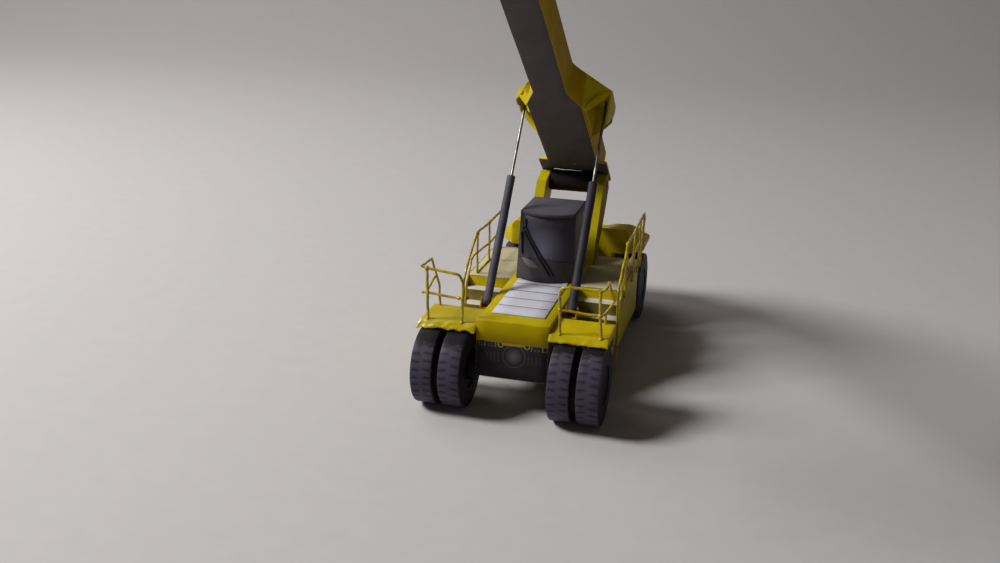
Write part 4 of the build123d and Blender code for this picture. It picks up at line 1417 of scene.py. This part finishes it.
@dataclass
class Cab:
    """Cab of printed grey card with a bowed front, a flat roof sheet and bent wire wipers."""

    swell: float = 1.3
    half: float = 13.2
    bulge: float = 5.4
    foot: float = 54.4
    lean: float = 4.6
    wiper_radius: float = 0.52
    wiper_steps: int = 6
    wiper_blob: float = 0.9
    wipers: tuple[tuple[tuple[float, float], tuple[float, float]], ...] = (
        ((-10.5, 62.3), (3.3, 43.1)), ((-8.9, 62.3), (5.3, 42.8)), ((-9.7, 66.6), (-9.4, 62.1)),
        ((-11.3, 60.3), (-10.5, 51.3)))

    def build(self) -> None:
        """Make the cab's pieces."""
        CardPiece("cab_body", "chassis", (CAB_PRINT,), None, CAB_FOLD, cell=4.0, bevel=0.12,
                  shape=self._taller).build()
        CardPiece("cab_roof", "chassis", (CAB_ROOF_CARD,), None, CAB_FOLD, CAB_RIM, edge_width=1.7, cell=4.0,
                  bevel=0.05, wander=0.04, wander_pitch=9.0, shape=self._taller).build()
        self._wipers()

    def _taller(self, place: Vector) -> Vector:
        """Stretch the cab upwards by its swell.

        Args:
            place: a point of the cab.

        Returns:
            The moved point.
        """
        box = Box.of("cab_body")
        return place + Vector((0.0, 0.0, self.swell * min(1.0, (place.z - box.low.z) / box.size.z)))

    def _front_y(self, x: float, z: float) -> float:
        """Y of the bowed front at a place.

        Args:
            x: the place's X.
            z: the place's Z.

        Returns:
            The Y in millimetres.
        """
        box = Box.of("cab_body")
        share = (z - box.low.z) / (box.size.z + self.swell)
        corner = AXLE_Y + self.foot + self.lean * share
        radius = (self.half ** 2 + self.bulge ** 2) / (2 * self.bulge)
        return corner - (math.sqrt(max(radius * radius - x * x, 0.0)) - (radius - self.bulge))

    def _wipers(self) -> None:
        """Bend the wiper bars over the front."""
        runs = []
        for first, last in self.wipers:
            run = []
            for k in range(self.wiper_steps + 1):
                x, z = (a + (b - a) * k / self.wiper_steps for a, b in zip(first, last))
                place = (x, self._front_y(x, z) - self.wiper_radius * 0.8, z)
                run.append((place, self.wiper_blob if k == 0 else 0.0))
            runs.append(run)
        mesh = WIRES.run(guide_mesh(runs), {"Wire": BLACK_WIRE, "Glue": BLACK_WIRE},
                         Wire_Radius=self.wiper_radius * MM, Bend_Radius=0.5 * MM, Wander=0.15 * MM,
                         Blob_Radius=0.7 * MM)
        place_mesh("cab_wipers", mesh, (), "chassis", (), Shading.ROUND)


@dataclass
class Walkways:
    """Wings over the front wheels, stairs, platforms and side panels."""

    head_riser: float = 5.0
    strap_foot: float = 1.2
    strap_width: float = 1.5
    strap_card: float = 0.4
    strap_lap: float = 1.5
    strap_sway: float = 0.25
    nose_depth: float = 4.5
    dents: dict[Side, float] = field(default_factory=lambda: {Side.LEFT: 0.5, Side.RIGHT: 1.0})

    def build(self) -> None:
        """Make both sides' pieces."""
        for side in Side:
            self._wing(side)
            CardPiece(f"stair_{side.tag}", "chassis", (YELLOW_CARD, STEP_CARD, DARK_CARD, RISER_CARD),
                      self._stair, FOLD, BARE_EDGE, edge_width=0.3, bevel=0.1).build()
            CardPiece(f"platform_{side.tag}", "chassis", (YELLOW_CARD, TREAD_CARD, DARK_CARD), up_down(1, 0, 2),
                      CREAM_FOLD, CREAM_FOLD, bevel=0.08).build()
            CardPiece(f"side_panel_{side.tag}", "chassis", (PANEL_PRINT,), None, FOLD, FOLD, bevel=0.08).build()
            self._strap(side)

    def _stair(self, normal: Vector, middle: Vector) -> int:
        """Give the stair pale treads, one yellow riser at its head and browner ones below.

        Args:
            normal: way that the face looks.
            middle: its middle.

        Returns:
            Index of its finish.
        """
        if normal.z > 0.8:
            return 1
        if normal.z < -0.3:
            return 2
        return 3 if normal.y < -0.5 and middle.z < Box.of("platform_left").high.z - self.head_riser else 0

    def _strap(self, side: Side) -> None:
        """Hang the narrow strap of card from the front edge of the side panel.

        Args:
            side: which side.
        """
        panel = Box.of(f"side_panel_{side.tag}")
        outer = panel.high.x if side is Side.LEFT else panel.low.x
        inner = outer - side.value * self.strap_card
        front, top, foot = panel.low.y, panel.low.z + self.strap_lap, self.strap_foot
        rows = []
        for k in range(6):
            share = k / 5
            sway = side.value * self.strap_sway * math.sin(2.2 * share)
            width = self.strap_width * (0.75 + 0.25 * share)
            z = foot + (top - foot) * share
            rows.append([Vector((inner + sway, front + step, z)) for step in (0.0, width / 2, width)])
        mesh = slab_mesh(rows, Vector((outer - inner, 0.0, 0.0)))
        finish_piece(f"panel_strap_{side.tag}", mesh, (YELLOW_CARD,), "chassis")

    def _wing(self, side: Side) -> None:
        """Make one wing, its nose crumpled by handling.

        Args:
            side: which side.
        """
        top = WET_CARD if side is Side.RIGHT else YELLOW_CARD
        CardPiece(f"wing_{side.tag}", "chassis", (top, DARK_CARD), up_down(0, 0, 1), top, top,
                  cell=1.3, bevel=0.1, shape=lambda place: self._crumpled(place, side)).build()

    def _crumpled(self, place: Vector, side: Side) -> Vector:
        """Dent a wing's nose, most on the right, where the outer corner is also bent down.

        Args:
            place: a point of the wing.
            side: which side.

        Returns:
            The moved point.
        """
        near = min(1.0, max(0.0, 1.0 - (place.y - (AXLE_Y - 3.0)) / self.nose_depth))
        rough = noise.noise_vector(place / 2.2 + Vector((3.0, side.value * 5.0, 0.0)))
        fine = noise.noise_vector(place / 0.9)
        bend = Vector((rough.x * 0.4, rough.y * 0.5, rough.z * 1.1)) + fine * 0.3
        outer = ease((place.x * side.value - 30.0) / 7.0) if side is Side.RIGHT else 0.0
        corner = Vector((side.value * 1.2, 0.0, -0.5)) * outer * near
        return place + bend * near * self.dents[side] + corner


@dataclass(frozen=True)
class RailRun:
    """One length of wire: its stops as (outwards from the middle, behind the front axle, height, glue blob)."""

    stops: tuple[tuple[float, float, float, float], ...]
    thick: bool = False

    def placed(self, side: Side) -> list[tuple[Point, float]]:
        """Stops of the run on one side of the machine.

        Args:
            side: which side.

        Returns:
            Points in millimetres, each with its blob.
        """
        return [((side.value * x, AXLE_Y + y, z), blob) for x, y, z, blob in self.stops]


@dataclass
class Rails:
    """Hand rails of soft wire, bent and lacquered by hand, so the two sides differ a little."""

    wire: float = 0.58
    thin: float = 0.52
    sunk: float = 0.3
    wing_bend: float = 2.2
    deck_bend: float = 3.0
    wander: float = 0.8
    blob: float = 0.8

    def build(self) -> None:
        """Make the four rails."""
        for side in Side:
            base = Box.of(f"wing_{side.tag}").high.z - self.sunk
            floor = Box.of(f"platform_{side.tag}").high.z - self.sunk
            self._rail("wing", side, self._wing_runs(side, base), self.wing_bend)
            self._rail("deck", side, self._deck_runs(side, floor), self.deck_bend)

    def _rail(self, place: str, side: Side, runs: Sequence[RailRun], bend: float) -> None:
        """Run the wire recipe for the thick and the thin runs of one rail.

        Args:
            place: where the rail is, as the names spell it.
            side: which side.
            runs: the lengths of wire.
            bend: bend radius in millimetres.
        """
        whole = bmesh.new()
        for thick, radius in ((True, self.wire), (False, self.thin)):
            guide = guide_mesh([run.placed(side) for run in runs if run.thick is thick])
            absorb(whole, WIRES.run(guide, {"Wire": YELLOW_WIRE, "Glue": GLUE}, Wire_Radius=radius * MM,
                                    Bend_Radius=bend * MM, Wander=self.wander * MM, Blob_Radius=self.blob * MM))
        finish_piece(f"{place}_wire_{side.tag}", whole, (YELLOW_WIRE, GLUE), "chassis",
                     (f"{place}_rail_{side.tag}",), Shading.ROUND)

    @staticmethod
    def _wing_runs(side: Side, base: float) -> tuple[RailRun, ...]:
        """Runs of the rail round one wing.

        Args:
            side: which side.
            base: height of the posts' feet.

        Returns:
            The runs.
        """
        if side is Side.RIGHT:
            return (
                RailRun(((36.6, 0.0, base, 1.0), (36.7, 0.0, 58.6, 0.0)), True),
                RailRun(((38.9, 0.0, 59.3, 0.6), (36.7, 0.0, 58.6, 1.2), (23.0, 0.0, 57.4, 0.0), (21.2, 0.0, 53.9, 0.0),
                         (21.8, 0.0, base, 1.1)), True),
                RailRun(((38.9, 0.0, 59.3, 0.8), (40.2, 15.8, 57.8, 0.4), (38.5, 15.8, 50.4, 0.0),
                         (36.9, 15.8, 45.6, 0.0), (36.7, 15.8, base, 0.8))),
                RailRun(((38.6, 0.0, 48.2, 0.8), (36.6, 0.0, 48.1, 1.1), (23.2, 0.0, 47.2, 1.0),
                         (21.4, 0.0, 46.9, 0.7))),
                RailRun(((36.6, 0.0, 49.2, 0.0), (38.5, 15.8, 50.4, 0.6))),
            )
        return (
            RailRun(((19.4, 0.0, base, 1.0), (18.9, 0.0, 56.6, 0.0), (36.3, 0.0, 57.0, 0.3), (37.7, 0.0, 58.4, 0.3),
                     (36.6, 12.0, 56.4, 0.3)), True),
            RailRun(((36.3, 0.0, base, 1.0), (35.5, 0.0, 46.3, 1.3), (35.2, 0.0, 56.4, 1.0)), True),
            RailRun(((36.6, 12.0, 56.4, 0.3), (38.6, 15.8, 47.2, 0.5), (35.0, 15.8, 41.0, 0.6),
                     (35.5, 0.0, 46.3, 0.6))),
            RailRun(((35.0, 15.8, 41.0, 0.0), (35.2, 15.8, base, 0.8))),
            RailRun(((19.0, 0.0, 47.2, 1.0), (35.5, 0.0, 46.3, 0.0))),
        )

    @staticmethod
    def _deck_runs(side: Side, floor: float) -> tuple[RailRun, ...]:
        """Runs of the rail along one platform and down its stair.

        Args:
            side: which side.
            floor: height of the posts' feet.

        Returns:
            The runs.
        """
        if side is Side.RIGHT:
            x = 32.4
            posts = ((56.0, 57.8), (76.0, 57.6), (97.0, 58.3))
            return (
                RailRun(((x, 97.0, floor, 0.9), (x, 97.0, 58.3, 0.9), (x, 76.0, 57.6, 0.3), (x, 54.5, 58.4, 0.6),
                         (x, 39.1, 45.9, 0.0), (x, 35.9, 41.8, 0.0), (x, 35.0, 26.0, 0.8)), True),
                RailRun(((x, 97.0, 48.0, 0.0), (x, 90.0, 47.8, 0.0), (x, 74.7, 47.1, 1.2), (x, 55.5, 48.8, 1.1),
                         (x, 47.0, 48.6, 0.5), (x, 40.1, 39.1, 0.0), (x, 38.2, 30.0, 0.8))),
                *(RailRun(((x, y, floor, 1.0), (x, y, top, 1.2))) for y, top in posts[:2]),
                RailRun(((x, 56.0, floor + 0.3, 0.6), (x, 77.0, floor + 0.5, 0.8))),
            )
        x = 37.1
        return (
            RailRun(((x, 100.0, floor - 3.0, 0.9), (38.2, 100.2, 62.1, 0.4), (37.6, 90.0, 61.4, 0.8),
                     (x, 76.3, 59.8, 0.3), (x, 55.0, 60.0, 0.7), (x, 33.5, 44.4, 0.0), (x, 36.5, 30.0, 0.8)), True),
            RailRun(((38.0, 100.0, 51.0, 1.0), (x, 76.0, 48.4, 0.9), (x, 55.0, 48.8, 1.1), (x, 41.0, 39.0, 0.4),
                     (x, 37.5, 30.0, 0.8))),
            *(RailRun(((x, y, floor - 3.0, 1.0), (x, y, 49.0, 1.1), (x, y, 60.0, 1.2))) for y in (55.0, 77.0)),
            RailRun(((37.6, 90.0, 61.4, 0.9), (37.4, 92.0, 49.0, 0.9), (x, 91.0, floor - 3.0, 0.7))),
        )


@dataclass
class Tail:
    """Towers, hinge pin, hood and the faceted counterweight."""

    lid_foot: float = 38.0
    sag: float = 3.0
    sag_half: float = 11.0
    corner_drop: float = 4.0
    corner_start: float = 27.0

    def build(self) -> None:
        """Make the tail's pieces."""
        for side in Side:
            # The towers' outer faces take a darker yellow, painted shade.
            CardPiece(f"tower_{side.tag}", "chassis", (YELLOW_CARD, TOWER_PAINTED_SHADE),
                      lambda normal, _, s=side.value: int(normal.x * s > 0.9), FOLD, bevel=0.08, wander_pitch=9.0,
                      shading=Shading.FACETED).build()
        CardPiece("engine_hood", "chassis", (YELLOW_CARD,), None, FOLD, shading=Shading.FACETED).build()
        CardPiece("counterweight", "chassis", (YELLOW_CARD, DARK_CARD), up_down(0, 0, 1), FOLD, cell=5.0, bevel=0.08,
                  shading=Shading.FACETED, shape=self._dented).build()
        keep_node("hinge_pin", STEEL_WIRE)

    def _dented(self, place: Vector) -> Vector:
        """Sink the middle and the rear corners of the counterweight's lid.

        Args:
            place: a point of the counterweight.

        Returns:
            The moved point.
        """
        box = Box.of("counterweight")
        lid = ease((place.z - self.lid_foot) / 6.0)
        behind = ease((place.y - box.low.y) / 9.0)
        middle = 1.0 - ease((abs(place.x) - self.sag_half) / 13.0)
        corner = ease((abs(place.x) - self.corner_start) / 6.0) * ease((place.y - box.low.y - 14.0) / 14.0)
        return place - Vector((0.0, 0.0, lid * (self.sag * behind * middle + self.corner_drop * corner)))


@dataclass
class Boom:
    """The boom's card box, its foot, the rods' brackets, and the inner boom.

    Places on it are given as X, distance along the boom and distance above its foot line.
    """

    squeeze: float = 0.85
    fold_start: float = 1.3
    corner_drop: float = 5.5
    tuck: float = 0.3
    eye_above: float = 145.4
    under: float = 131.2
    top_drop: float = 1.5
    liner_along: float = -10.3
    liner_top: float = 148.8
    lip_rise: float = 3.0
    lip_reach: float = 2.2
    lip_card: float = 0.3
    lip_ends: tuple[Point, Point] = ((12.4, 21.0, 132.0), (21.3, 8.4, 146.6))
    slip_half: float = 6.9
    slip_behind: float = 98.4
    slip_height: float = 80.55
    flap: tuple[Point, Point, Point] = ((-20.9, 9.0, 142.6), (-12.7, 14.6, 140.3), (-14.4, 14.6, 134.2))

    def build(self) -> None:
        """Make the boom's pieces."""
        CardPiece("boom_outer", "boom", (YELLOW_CARD, UNDER_CARD, PAINTED_SHADE_SIDE), self._under, FOLD, BARE_EDGE,
                  edge_width=0.5, cell=8.0).build()
        CardPiece("boom_collar", "boom", (YELLOW_CARD,), None, FOLD, BARE_EDGE, bevel=0.1).build()
        CardPiece("boom_foot", "boom", (FOOT_PRINT,), None, None, None, bevel=0.0, wander=0.05).build()
        for side in Side:
            CardPiece(f"boom_bracket_{side.tag}", "boom", (YELLOW_CARD,), None, FOLD, FOLD, bevel=0.1, cell=3.0,
                      shape=lambda place, s=side: self._folded(place, s)).build()
            self._liner(side)
        self._lip(Side.LEFT)
        self._flap()
        self._slip()
        CardPiece("boom_inner", "boom_extension", (YELLOW_CARD, UNDER_CARD, PAINTED_SHADE_SIDE), self._under, FOLD,
                  cell=8.0).build()
        CardPiece("boom_head", "boom_extension", (YELLOW_CARD,), None, FOLD, cell=6.0).build()

    def _folded(self, place: Vector, side: Side) -> Vector:
        """Bend a bracket as its maker did: folded up short, and the right one's front corner bent down.

        Args:
            place: a point of the bracket.
            side: which side.

        Returns:
            The moved point.
        """
        at = place - Vector((0.0, AXLE_Y, 0.0))
        along, above = at.dot(BOOM_ALONG), at.dot(BOOM_ABOVE)
        inside = self.tuck * (1.0 - ease((abs(place.x) - 13.0) / 4.5)) if side is Side.RIGHT else 0.0
        shift = -(1.0 - self.squeeze + inside) * max(0.0, along - self.fold_start)
        lift = -self.top_drop * ease((above - self.eye_above) / 4.0) * ease((along - 4.5) / 4.0)
        ear = ease((abs(place.x) - 14.0) / 5.0)
        if side is Side.RIGHT:
            lift -= self.corner_drop * ear * ease((along - 5.2) / 3.2) * ease((above - 138.0) / 10.0)
            if above < self.eye_above:
                lift += (self.eye_above - above) * 0.55 * ear * ease((along + 6.0) / 6.0)
        if above < self.under + 0.7 and along > -8.0:
            lift += 0.7 * (1.0 - ear)
        return place + BOOM_ALONG * shift + BOOM_ABOVE * lift

    def _slip(self) -> None:
        """Lay the narrow pale slip of card along the top of the foot's tube."""
        rows = []
        for k in range(9):
            x = 2 * self.slip_half * k / 8 - self.slip_half
            y, z = AXLE_Y + self.slip_behind + 0.12 * math.sin(k), self.slip_height + 0.15 * math.sin(1.7 * k)
            rows.append([Vector((x, y + step, z)) for step in (-0.25, 0.1, 0.5)])
        finish_piece("foot_slip", slab_mesh(rows, Vector((0.0, 0.0, 0.16))), (CREAM_FOLD,), "boom")

    @staticmethod
    def _at(x: float, along: float, above: float) -> Vector:
        """Point of the boom's own frame, in millimetres."""
        return Vector((x, AXLE_Y, 0.0)) + BOOM_ALONG * along + BOOM_ABOVE * above

    def _liner(self, side: Side) -> None:
        """Close the back of a bracket with a plate between the boom's side and the ear.

        Args:
            side: which side.
        """
        rows = []
        for k in range(6):
            share = k / 5
            x = side.value * (12.6 + 8.3 * share)
            low = self.under + 0.8 + 8.8 * share
            along = self.liner_along - 0.5 * math.sin(3.1 * share)
            rows.append([self._at(x, along, low + (self.liner_top - low) * j / 3) for j in range(4)])
        finish_piece(f"bracket_liner_{side.tag}", slab_mesh(rows, BOOM_ALONG * -0.4), (YELLOW_CARD,), "boom")

    def _lip(self, side: Side) -> None:
        """Curl the lower lip of a bracket's front web, its card painted a paler yellow as light.

        Args:
            side: which side.
        """
        first, last = (self._at(side.value * x, along * self.squeeze, above) for x, along, above in self.lip_ends)
        front = Vector((0.0, -self.lip_card, 0.0))
        rows = []
        for k in range(11):
            swell = math.sin(math.pi * k / 10) ** 0.8
            foot = first.lerp(last, k / 10)
            rows.append([foot + BOOM_ABOVE * (self.lip_rise * swell * j / 4) + BOOM_ALONG * self._curl(swell, j / 4)
                         + front for j in range(5)])
        finish_piece(f"bracket_lip_{side.tag}", slab_mesh(rows, -front), (LIP_PAINTED_LIGHT,), "boom")

    def _curl(self, swell: float, share: float) -> float:
        """How far a lip stands forward of its web, most at its free edge."""
        return self.lip_reach * swell * (1.0 - share) ** 1.4 + 0.35

    def _flap(self) -> None:
        """Fold the right bracket's front web down over the rod's eye, with its torn lower tip."""
        outer, inner, tip = (self._at(*corner) for corner in self.flap)
        rows = []
        for k in range(7):
            share = k / 6
            upper, lower = outer.lerp(inner, share), outer.lerp(tip, share)
            sag = BOOM_ALONG * (0.35 * math.sin(math.pi * share))
            rows.append([upper.lerp(lower, j / 4) + sag * math.sin(math.pi * j / 4) + BOOM_ALONG * (0.01 * j)
                         - BOOM_ABOVE * (0.05 * j) for j in range(5)])
        finish_piece("bracket_flap_r", slab_mesh(rows, BOOM_ALONG * -0.35), (FLAP_CARD,), "boom")

    @staticmethod
    def _under(normal: Vector, _: Vector) -> int:
        """Give the underside its dark sheet and the left side a darker yellow of painted shade.

        Args:
            normal: way that the face looks.

        Returns:
            Index of its finish.
        """
        if normal.dot(BOOM_ABOVE) < -0.9:
            return 1
        return 2 if normal.x > 0.9 else 0


@dataclass
class LiftCylinders:
    """Rolled paper barrels and bare wire rods on orange lugs."""

    direction: Point = (0.0, 0.61455, 0.788878)
    loose: dict[Side, float] = field(default_factory=lambda: {Side.LEFT: 1.15, Side.RIGHT: 1.07})

    def _rolled(self, place: Vector, side: Side) -> Vector:
        """Thicken a barrel about its axis, as paper rolled less tightly.

        Args:
            place: a point of the barrel.
            side: which side.

        Returns:
            The moved point.
        """
        centre = Box.of(f"lift_barrel_{side.tag}").centre
        along = Vector(self.direction)
        off = place - centre
        radial = off - along * off.dot(along)
        return place + radial * (self.loose[side] - 1.0)

    def build(self) -> None:
        """Make both cylinders."""
        for side in Side:
            CardPiece(f"lift_bracket_{side.tag}", "chassis", (ORANGE_CARD,), None, ORANGE_CARD, None,
                      bevel=0.1).build()
            CardPiece(f"lift_barrel_{side.tag}", f"lift_barrel_{side.tag}", (BARREL_PAINTED_LIGHT_AND_SHADE[side],), None, None, None,
                      bevel=0.0, wander=0.12, wander_pitch=7.0, cell=3.0, shading=Shading.ROUND,
                      shape=lambda place, s=side: self._rolled(place, s)).build()
            keep_node(f"lift_rod_{side.tag}", STEEL_WIRE)


@dataclass
class Spreader:
    """The turning ring, the beam, its arms and the four locks."""

    def build(self) -> None:
        """Make the spreader's pieces."""
        keep_node("rotator", BLACK_CARD)
        CardPiece("spreader_beam", "spreader", (YELLOW_CARD,), None, FOLD, cell=7.0).build()
        CardPiece("spreader_arms", "spreader", (YELLOW_CARD,), None, FOLD, cell=7.0).build()
        keep_node("twistlocks", BLACK_CARD)


@dataclass(frozen=True)
class Lamp:
    """A round soft lamp, with its place, target and diameter in metres and its power in watts."""

    name: str
    place: Point
    target: Point
    size: float
    power: float
    colour: Colour

    def build(self) -> None:
        """Hang the lamp."""
        data = bpy.data.lights.new(self.name, "AREA")
        data.shape = "DISK"
        data.size = self.size
        data.energy = self.power
        data.color = self.colour
        light = bpy.data.objects.new(self.name, data)
        light.location = self.place
        light.rotation_euler = (Vector(self.target) - Vector(self.place)).to_track_quat("-Z", "Y").to_euler()
        bpy.context.scene.collection.objects.link(light)


@dataclass
class Studio:
    """Paper sweep, soft lamps, world and camera."""

    position: Point = (95.27, -395.40, 190.65)
    yaw: float = 0.271
    pitch: float = 0.342
    roll: float = 0.015
    lens: float = 35.94
    sheet_half: float = 2600.0
    sheet_front: float = -1600.0
    bend_start: float = 900.0
    bend_radius: float = 1500.0
    bend_steps: int = 24
    bend_end: float = 75.0
    room: Colour = (1.0, 0.86, 0.80)
    room_strength: float = 0.05
    wall: Colour = (0.17, 0.158, 0.154)
    lamps: tuple[Lamp, ...] = (
        Lamp("key", (-0.98, -0.27, 0.98), (0.0, 0.0, 0.05), 0.44, 17.6, (1.0, 0.995, 0.985)),
        Lamp("sky", (-1.5, 1.0, 1.5), (-0.5, 0.6, 0.0), 1.6, 12.0, (1.0, 0.97, 0.96)),
        Lamp("fill", (0.2, -1.6, 0.6), (0.0, 0.0, 0.08), 0.8, 0.3, (1.0, 0.95, 0.92)))

    def build(self) -> None:
        """Make the setting, lit from the upper left with a weak fill from the camera's side."""
        self._camera()
        self._sweep()
        for lamp in self.lamps:
            lamp.build()
        self._world()
        bpy.context.scene.view_settings.view_transform = "Standard"

    def _camera(self) -> None:
        """Put the camera at its place and make it the scene's."""
        yaw, pitch, roll = self.yaw, self.pitch, self.roll
        ahead = Vector((-math.sin(yaw) * math.cos(pitch), math.cos(yaw) * math.cos(pitch), -math.sin(pitch)))
        level = Vector((math.cos(yaw), math.sin(yaw), 0.0))
        above = level.cross(ahead)
        right = level * math.cos(roll) + above * math.sin(roll)
        up = above * math.cos(roll) - level * math.sin(roll)
        data = bpy.data.cameras.new("camera")
        data.lens = self.lens
        data.sensor_width = 36.0
        data.clip_start = 0.01
        data.clip_end = 20.0
        camera = bpy.data.objects.new("camera", data)
        turn = Matrix((right, up, -ahead)).transposed().to_4x4()
        camera.matrix_world = Matrix.Translation(Vector(self.position) * MM) @ turn
        bpy.context.scene.collection.objects.link(camera)
        bpy.context.scene.camera = camera

    def _sweep(self) -> None:
        """Lay the paper sheet: flat under the model, curving up far behind it."""
        run = [(self.sheet_front, 0.0), (self.bend_start, 0.0)]
        for k in range(1, self.bend_steps + 1):
            angle = math.radians(self.bend_end) * k / self.bend_steps
            run.append((self.bend_start + self.bend_radius * math.sin(angle),
                        self.bend_radius * (1.0 - math.cos(angle))))
        places = [(x * MM, y * MM, z * MM) for y, z in run for x in (-self.sheet_half, self.sheet_half)]
        data = bpy.data.meshes.new("sweep")
        data.from_pydata(places, [], [(2 * k, 2 * k + 1, 2 * k + 3, 2 * k + 2) for k in range(len(run) - 1)])
        data.shade_smooth()
        sweep = bpy.data.objects.new("sweep", data)
        data.materials.append(PALETTE.get(PAPER_SHEET))
        bpy.context.scene.collection.objects.link(sweep)

    def _world(self) -> None:
        """Give the room a dim warm light, and a plain pale wall wherever it is seen or mirrored."""
        world = bpy.data.worlds.new("world")
        world.use_nodes = True
        wiring = Wiring(world.node_tree)
        nodes, link = world.node_tree.nodes, world.node_tree.links.new
        lit, seen = nodes["Background"], nodes.new("ShaderNodeBackground")
        wiring.feed(lit.inputs["Color"], self.room)
        lit.inputs["Strength"].default_value = self.room_strength
        wiring.feed(seen.inputs["Color"], self.wall)
        path = nodes.new("ShaderNodeLightPath").outputs
        mirrored = wiring.plus(path["Is Glossy Ray"], path["Is Transmission Ray"])
        choice = nodes.new("ShaderNodeMixShader")
        link(wiring.plus(path["Is Camera Ray"], mirrored), choice.inputs[0])
        link(lit.outputs[0], choice.inputs[1])
        link(seen.outputs[0], choice.inputs[2])
        link(choice.outputs[0], nodes["World Output"].inputs["Surface"])
        bpy.context.scene.world = world


# ---------------------------------------------------------------------------
# finishes of single pieces
# ---------------------------------------------------------------------------
DARK_CARD = PrintedCard("dark_underside", tint(96, 88, 60), 0.15, 0.8)
UNDER_CARD = PrintedCard("brown_grey_sheet", BOOM_DARK, 0.10, 0.75, dust=0.3)
FOOT_PRINT = PrintedCard("foot_print", tint(40, 32, 35), 0.15, 0.85, gloss=0.1)
WET_CARD = PrintedCard("varnished_yellow", YELLOW, 0.12, 0.5, fade=YELLOW_WORN, fibre=0.5, gloss=0.5,
                       varnish=("Y", AXLE_Y - 0.8, 0.7))
CREAM_FOLD = PrintedCard("cream_fold", tint(206, 200, 176), 0.12, 0.7)
STEP_CARD = PrintedCard("step_card", tint(206, 203, 192), 0.10, 0.6)
RISER_CARD = TreadPlate("riser_card", tint(128, 116, 60), 0.15, 0.6, ink=tint(84, 74, 34), pitch=1.1)
CAB_RIM = PrintedCard("cab_rim", tint(74, 72, 80), 0.3, 0.6, gloss=0.1, fade=tint(150, 148, 154))
SIDEWALL = PrintedCard("tyre_sidewall", TYRE_SIDE, 0.15, 0.65, gloss=0.2)
SHOULDER = PrintedCard("tyre_shoulder", tint(60, 57, 66), 0.25, 0.4, fade=tint(150, 147, 156))
FASCIA = PrintedCard("fascia_card", tint(182, 158, 0), 0.08, 0.5, gloss=0.08, fade=tint(192, 172, 4))
AXLE_PRINT = AxlePrint("axle_print", tint(42, 39, 43), 0.15, 0.65, gloss=0.15, pale=tint(132, 128, 122),
                       ink_yellow=tint(150, 132, 24), hub_grey=tint(112, 106, 112))
LOUVRE_CARD = PrintedCard("white_panel", LILAC, 0.05, 0.55)
INK_STRIP = PrintedCard("ink_strip", tint(64, 60, 72), 0.1, 0.7)
# The cab's pale patch and its lens-shaped facet are painted reflection and painted highlight.
CAB_PRINT = CabPrint("cab_print", tint(60, 58, 68), 0.12, 0.5, gloss=0.25, front=AXLE_Y + 61.0,
                     painted_reflection=tint(112, 113, 132), band_colour=tint(74, 69, 70), line=tint(30, 28, 32),
                     painted_highlight=tint(122, 118, 120))
CAB_ROOF_CARD = PrintedCard("cab_roof_card", tint(84, 83, 90), 0.10, 0.55, gloss=0.2)
CAB_FOLD = PrintedCard("cab_fold", tint(62, 60, 68), 0.15, 0.5)
TREAD_CARD = TreadPlate("tread_card", CREAM, 0.08, 0.55, ink=tint(120, 116, 70))
PANEL_PRINT = VentPrint("panel_print", YELLOW, 0.10, 0.5, fade=YELLOW_WORN, ink=tint(40, 34, 22),
                        start=Box.of("side_panel_left").low.y, end=Box.of("side_panel_left").high.y,
                        level=Box.of("side_panel_left").high.z)
# A darker yellow for the towers' outer faces: painted shade.
TOWER_PAINTED_SHADE = PrintedCard("tower_print", tint(140, 116, 0), 0.2, 0.6, gloss=0.06, fade=tint(160, 138, 10))
# The boom's left side is painted a darker yellow as shade.
PAINTED_SHADE_SIDE = PrintedCard("shade_side_card", tint(172, 140, 0), 0.14, 0.6, gloss=0.06, fade=tint(182, 154, 8))
FLAP_CARD = PrintedCard("flap_card", tint(174, 157, 0), 0.1, 0.5, gloss=0.05)
# A paler yellow than the card for the bracket's lip: painted light.
LIP_PAINTED_LIGHT = PrintedCard("lip_card", tint(248, 228, 10), 0.08, 0.5, gloss=0.1)
ORANGE_CARD = PrintedCard("orange_card", tint(176, 128, 30), 0.2, 0.5)
BLACK_WIRE = Lacquer("black_wire", tint(20, 19, 22), tint(34, 33, 36), 0.35)
PAPER_SHEET = PrintedCard("sheet_paper", tint(201, 198, 198), 0.02, 0.9, fibre=0.08)

WIRES = BentWire()
STRIPS = StripRow()


def main() -> None:
    """Build the setting and every sub-assembly."""
    logging.basicConfig(level=logging.INFO, format="%(message)s")
    Studio().build()
    for axle in Axle:
        for side in Side:
            Wheel(axle, side).build()
    for part in (FrontFrame(), Cab(), Walkways(), Rails(), Tail(), Boom(), LiftCylinders(), Spreader()):
        part.build()


if __name__ == "__main__":
    main()
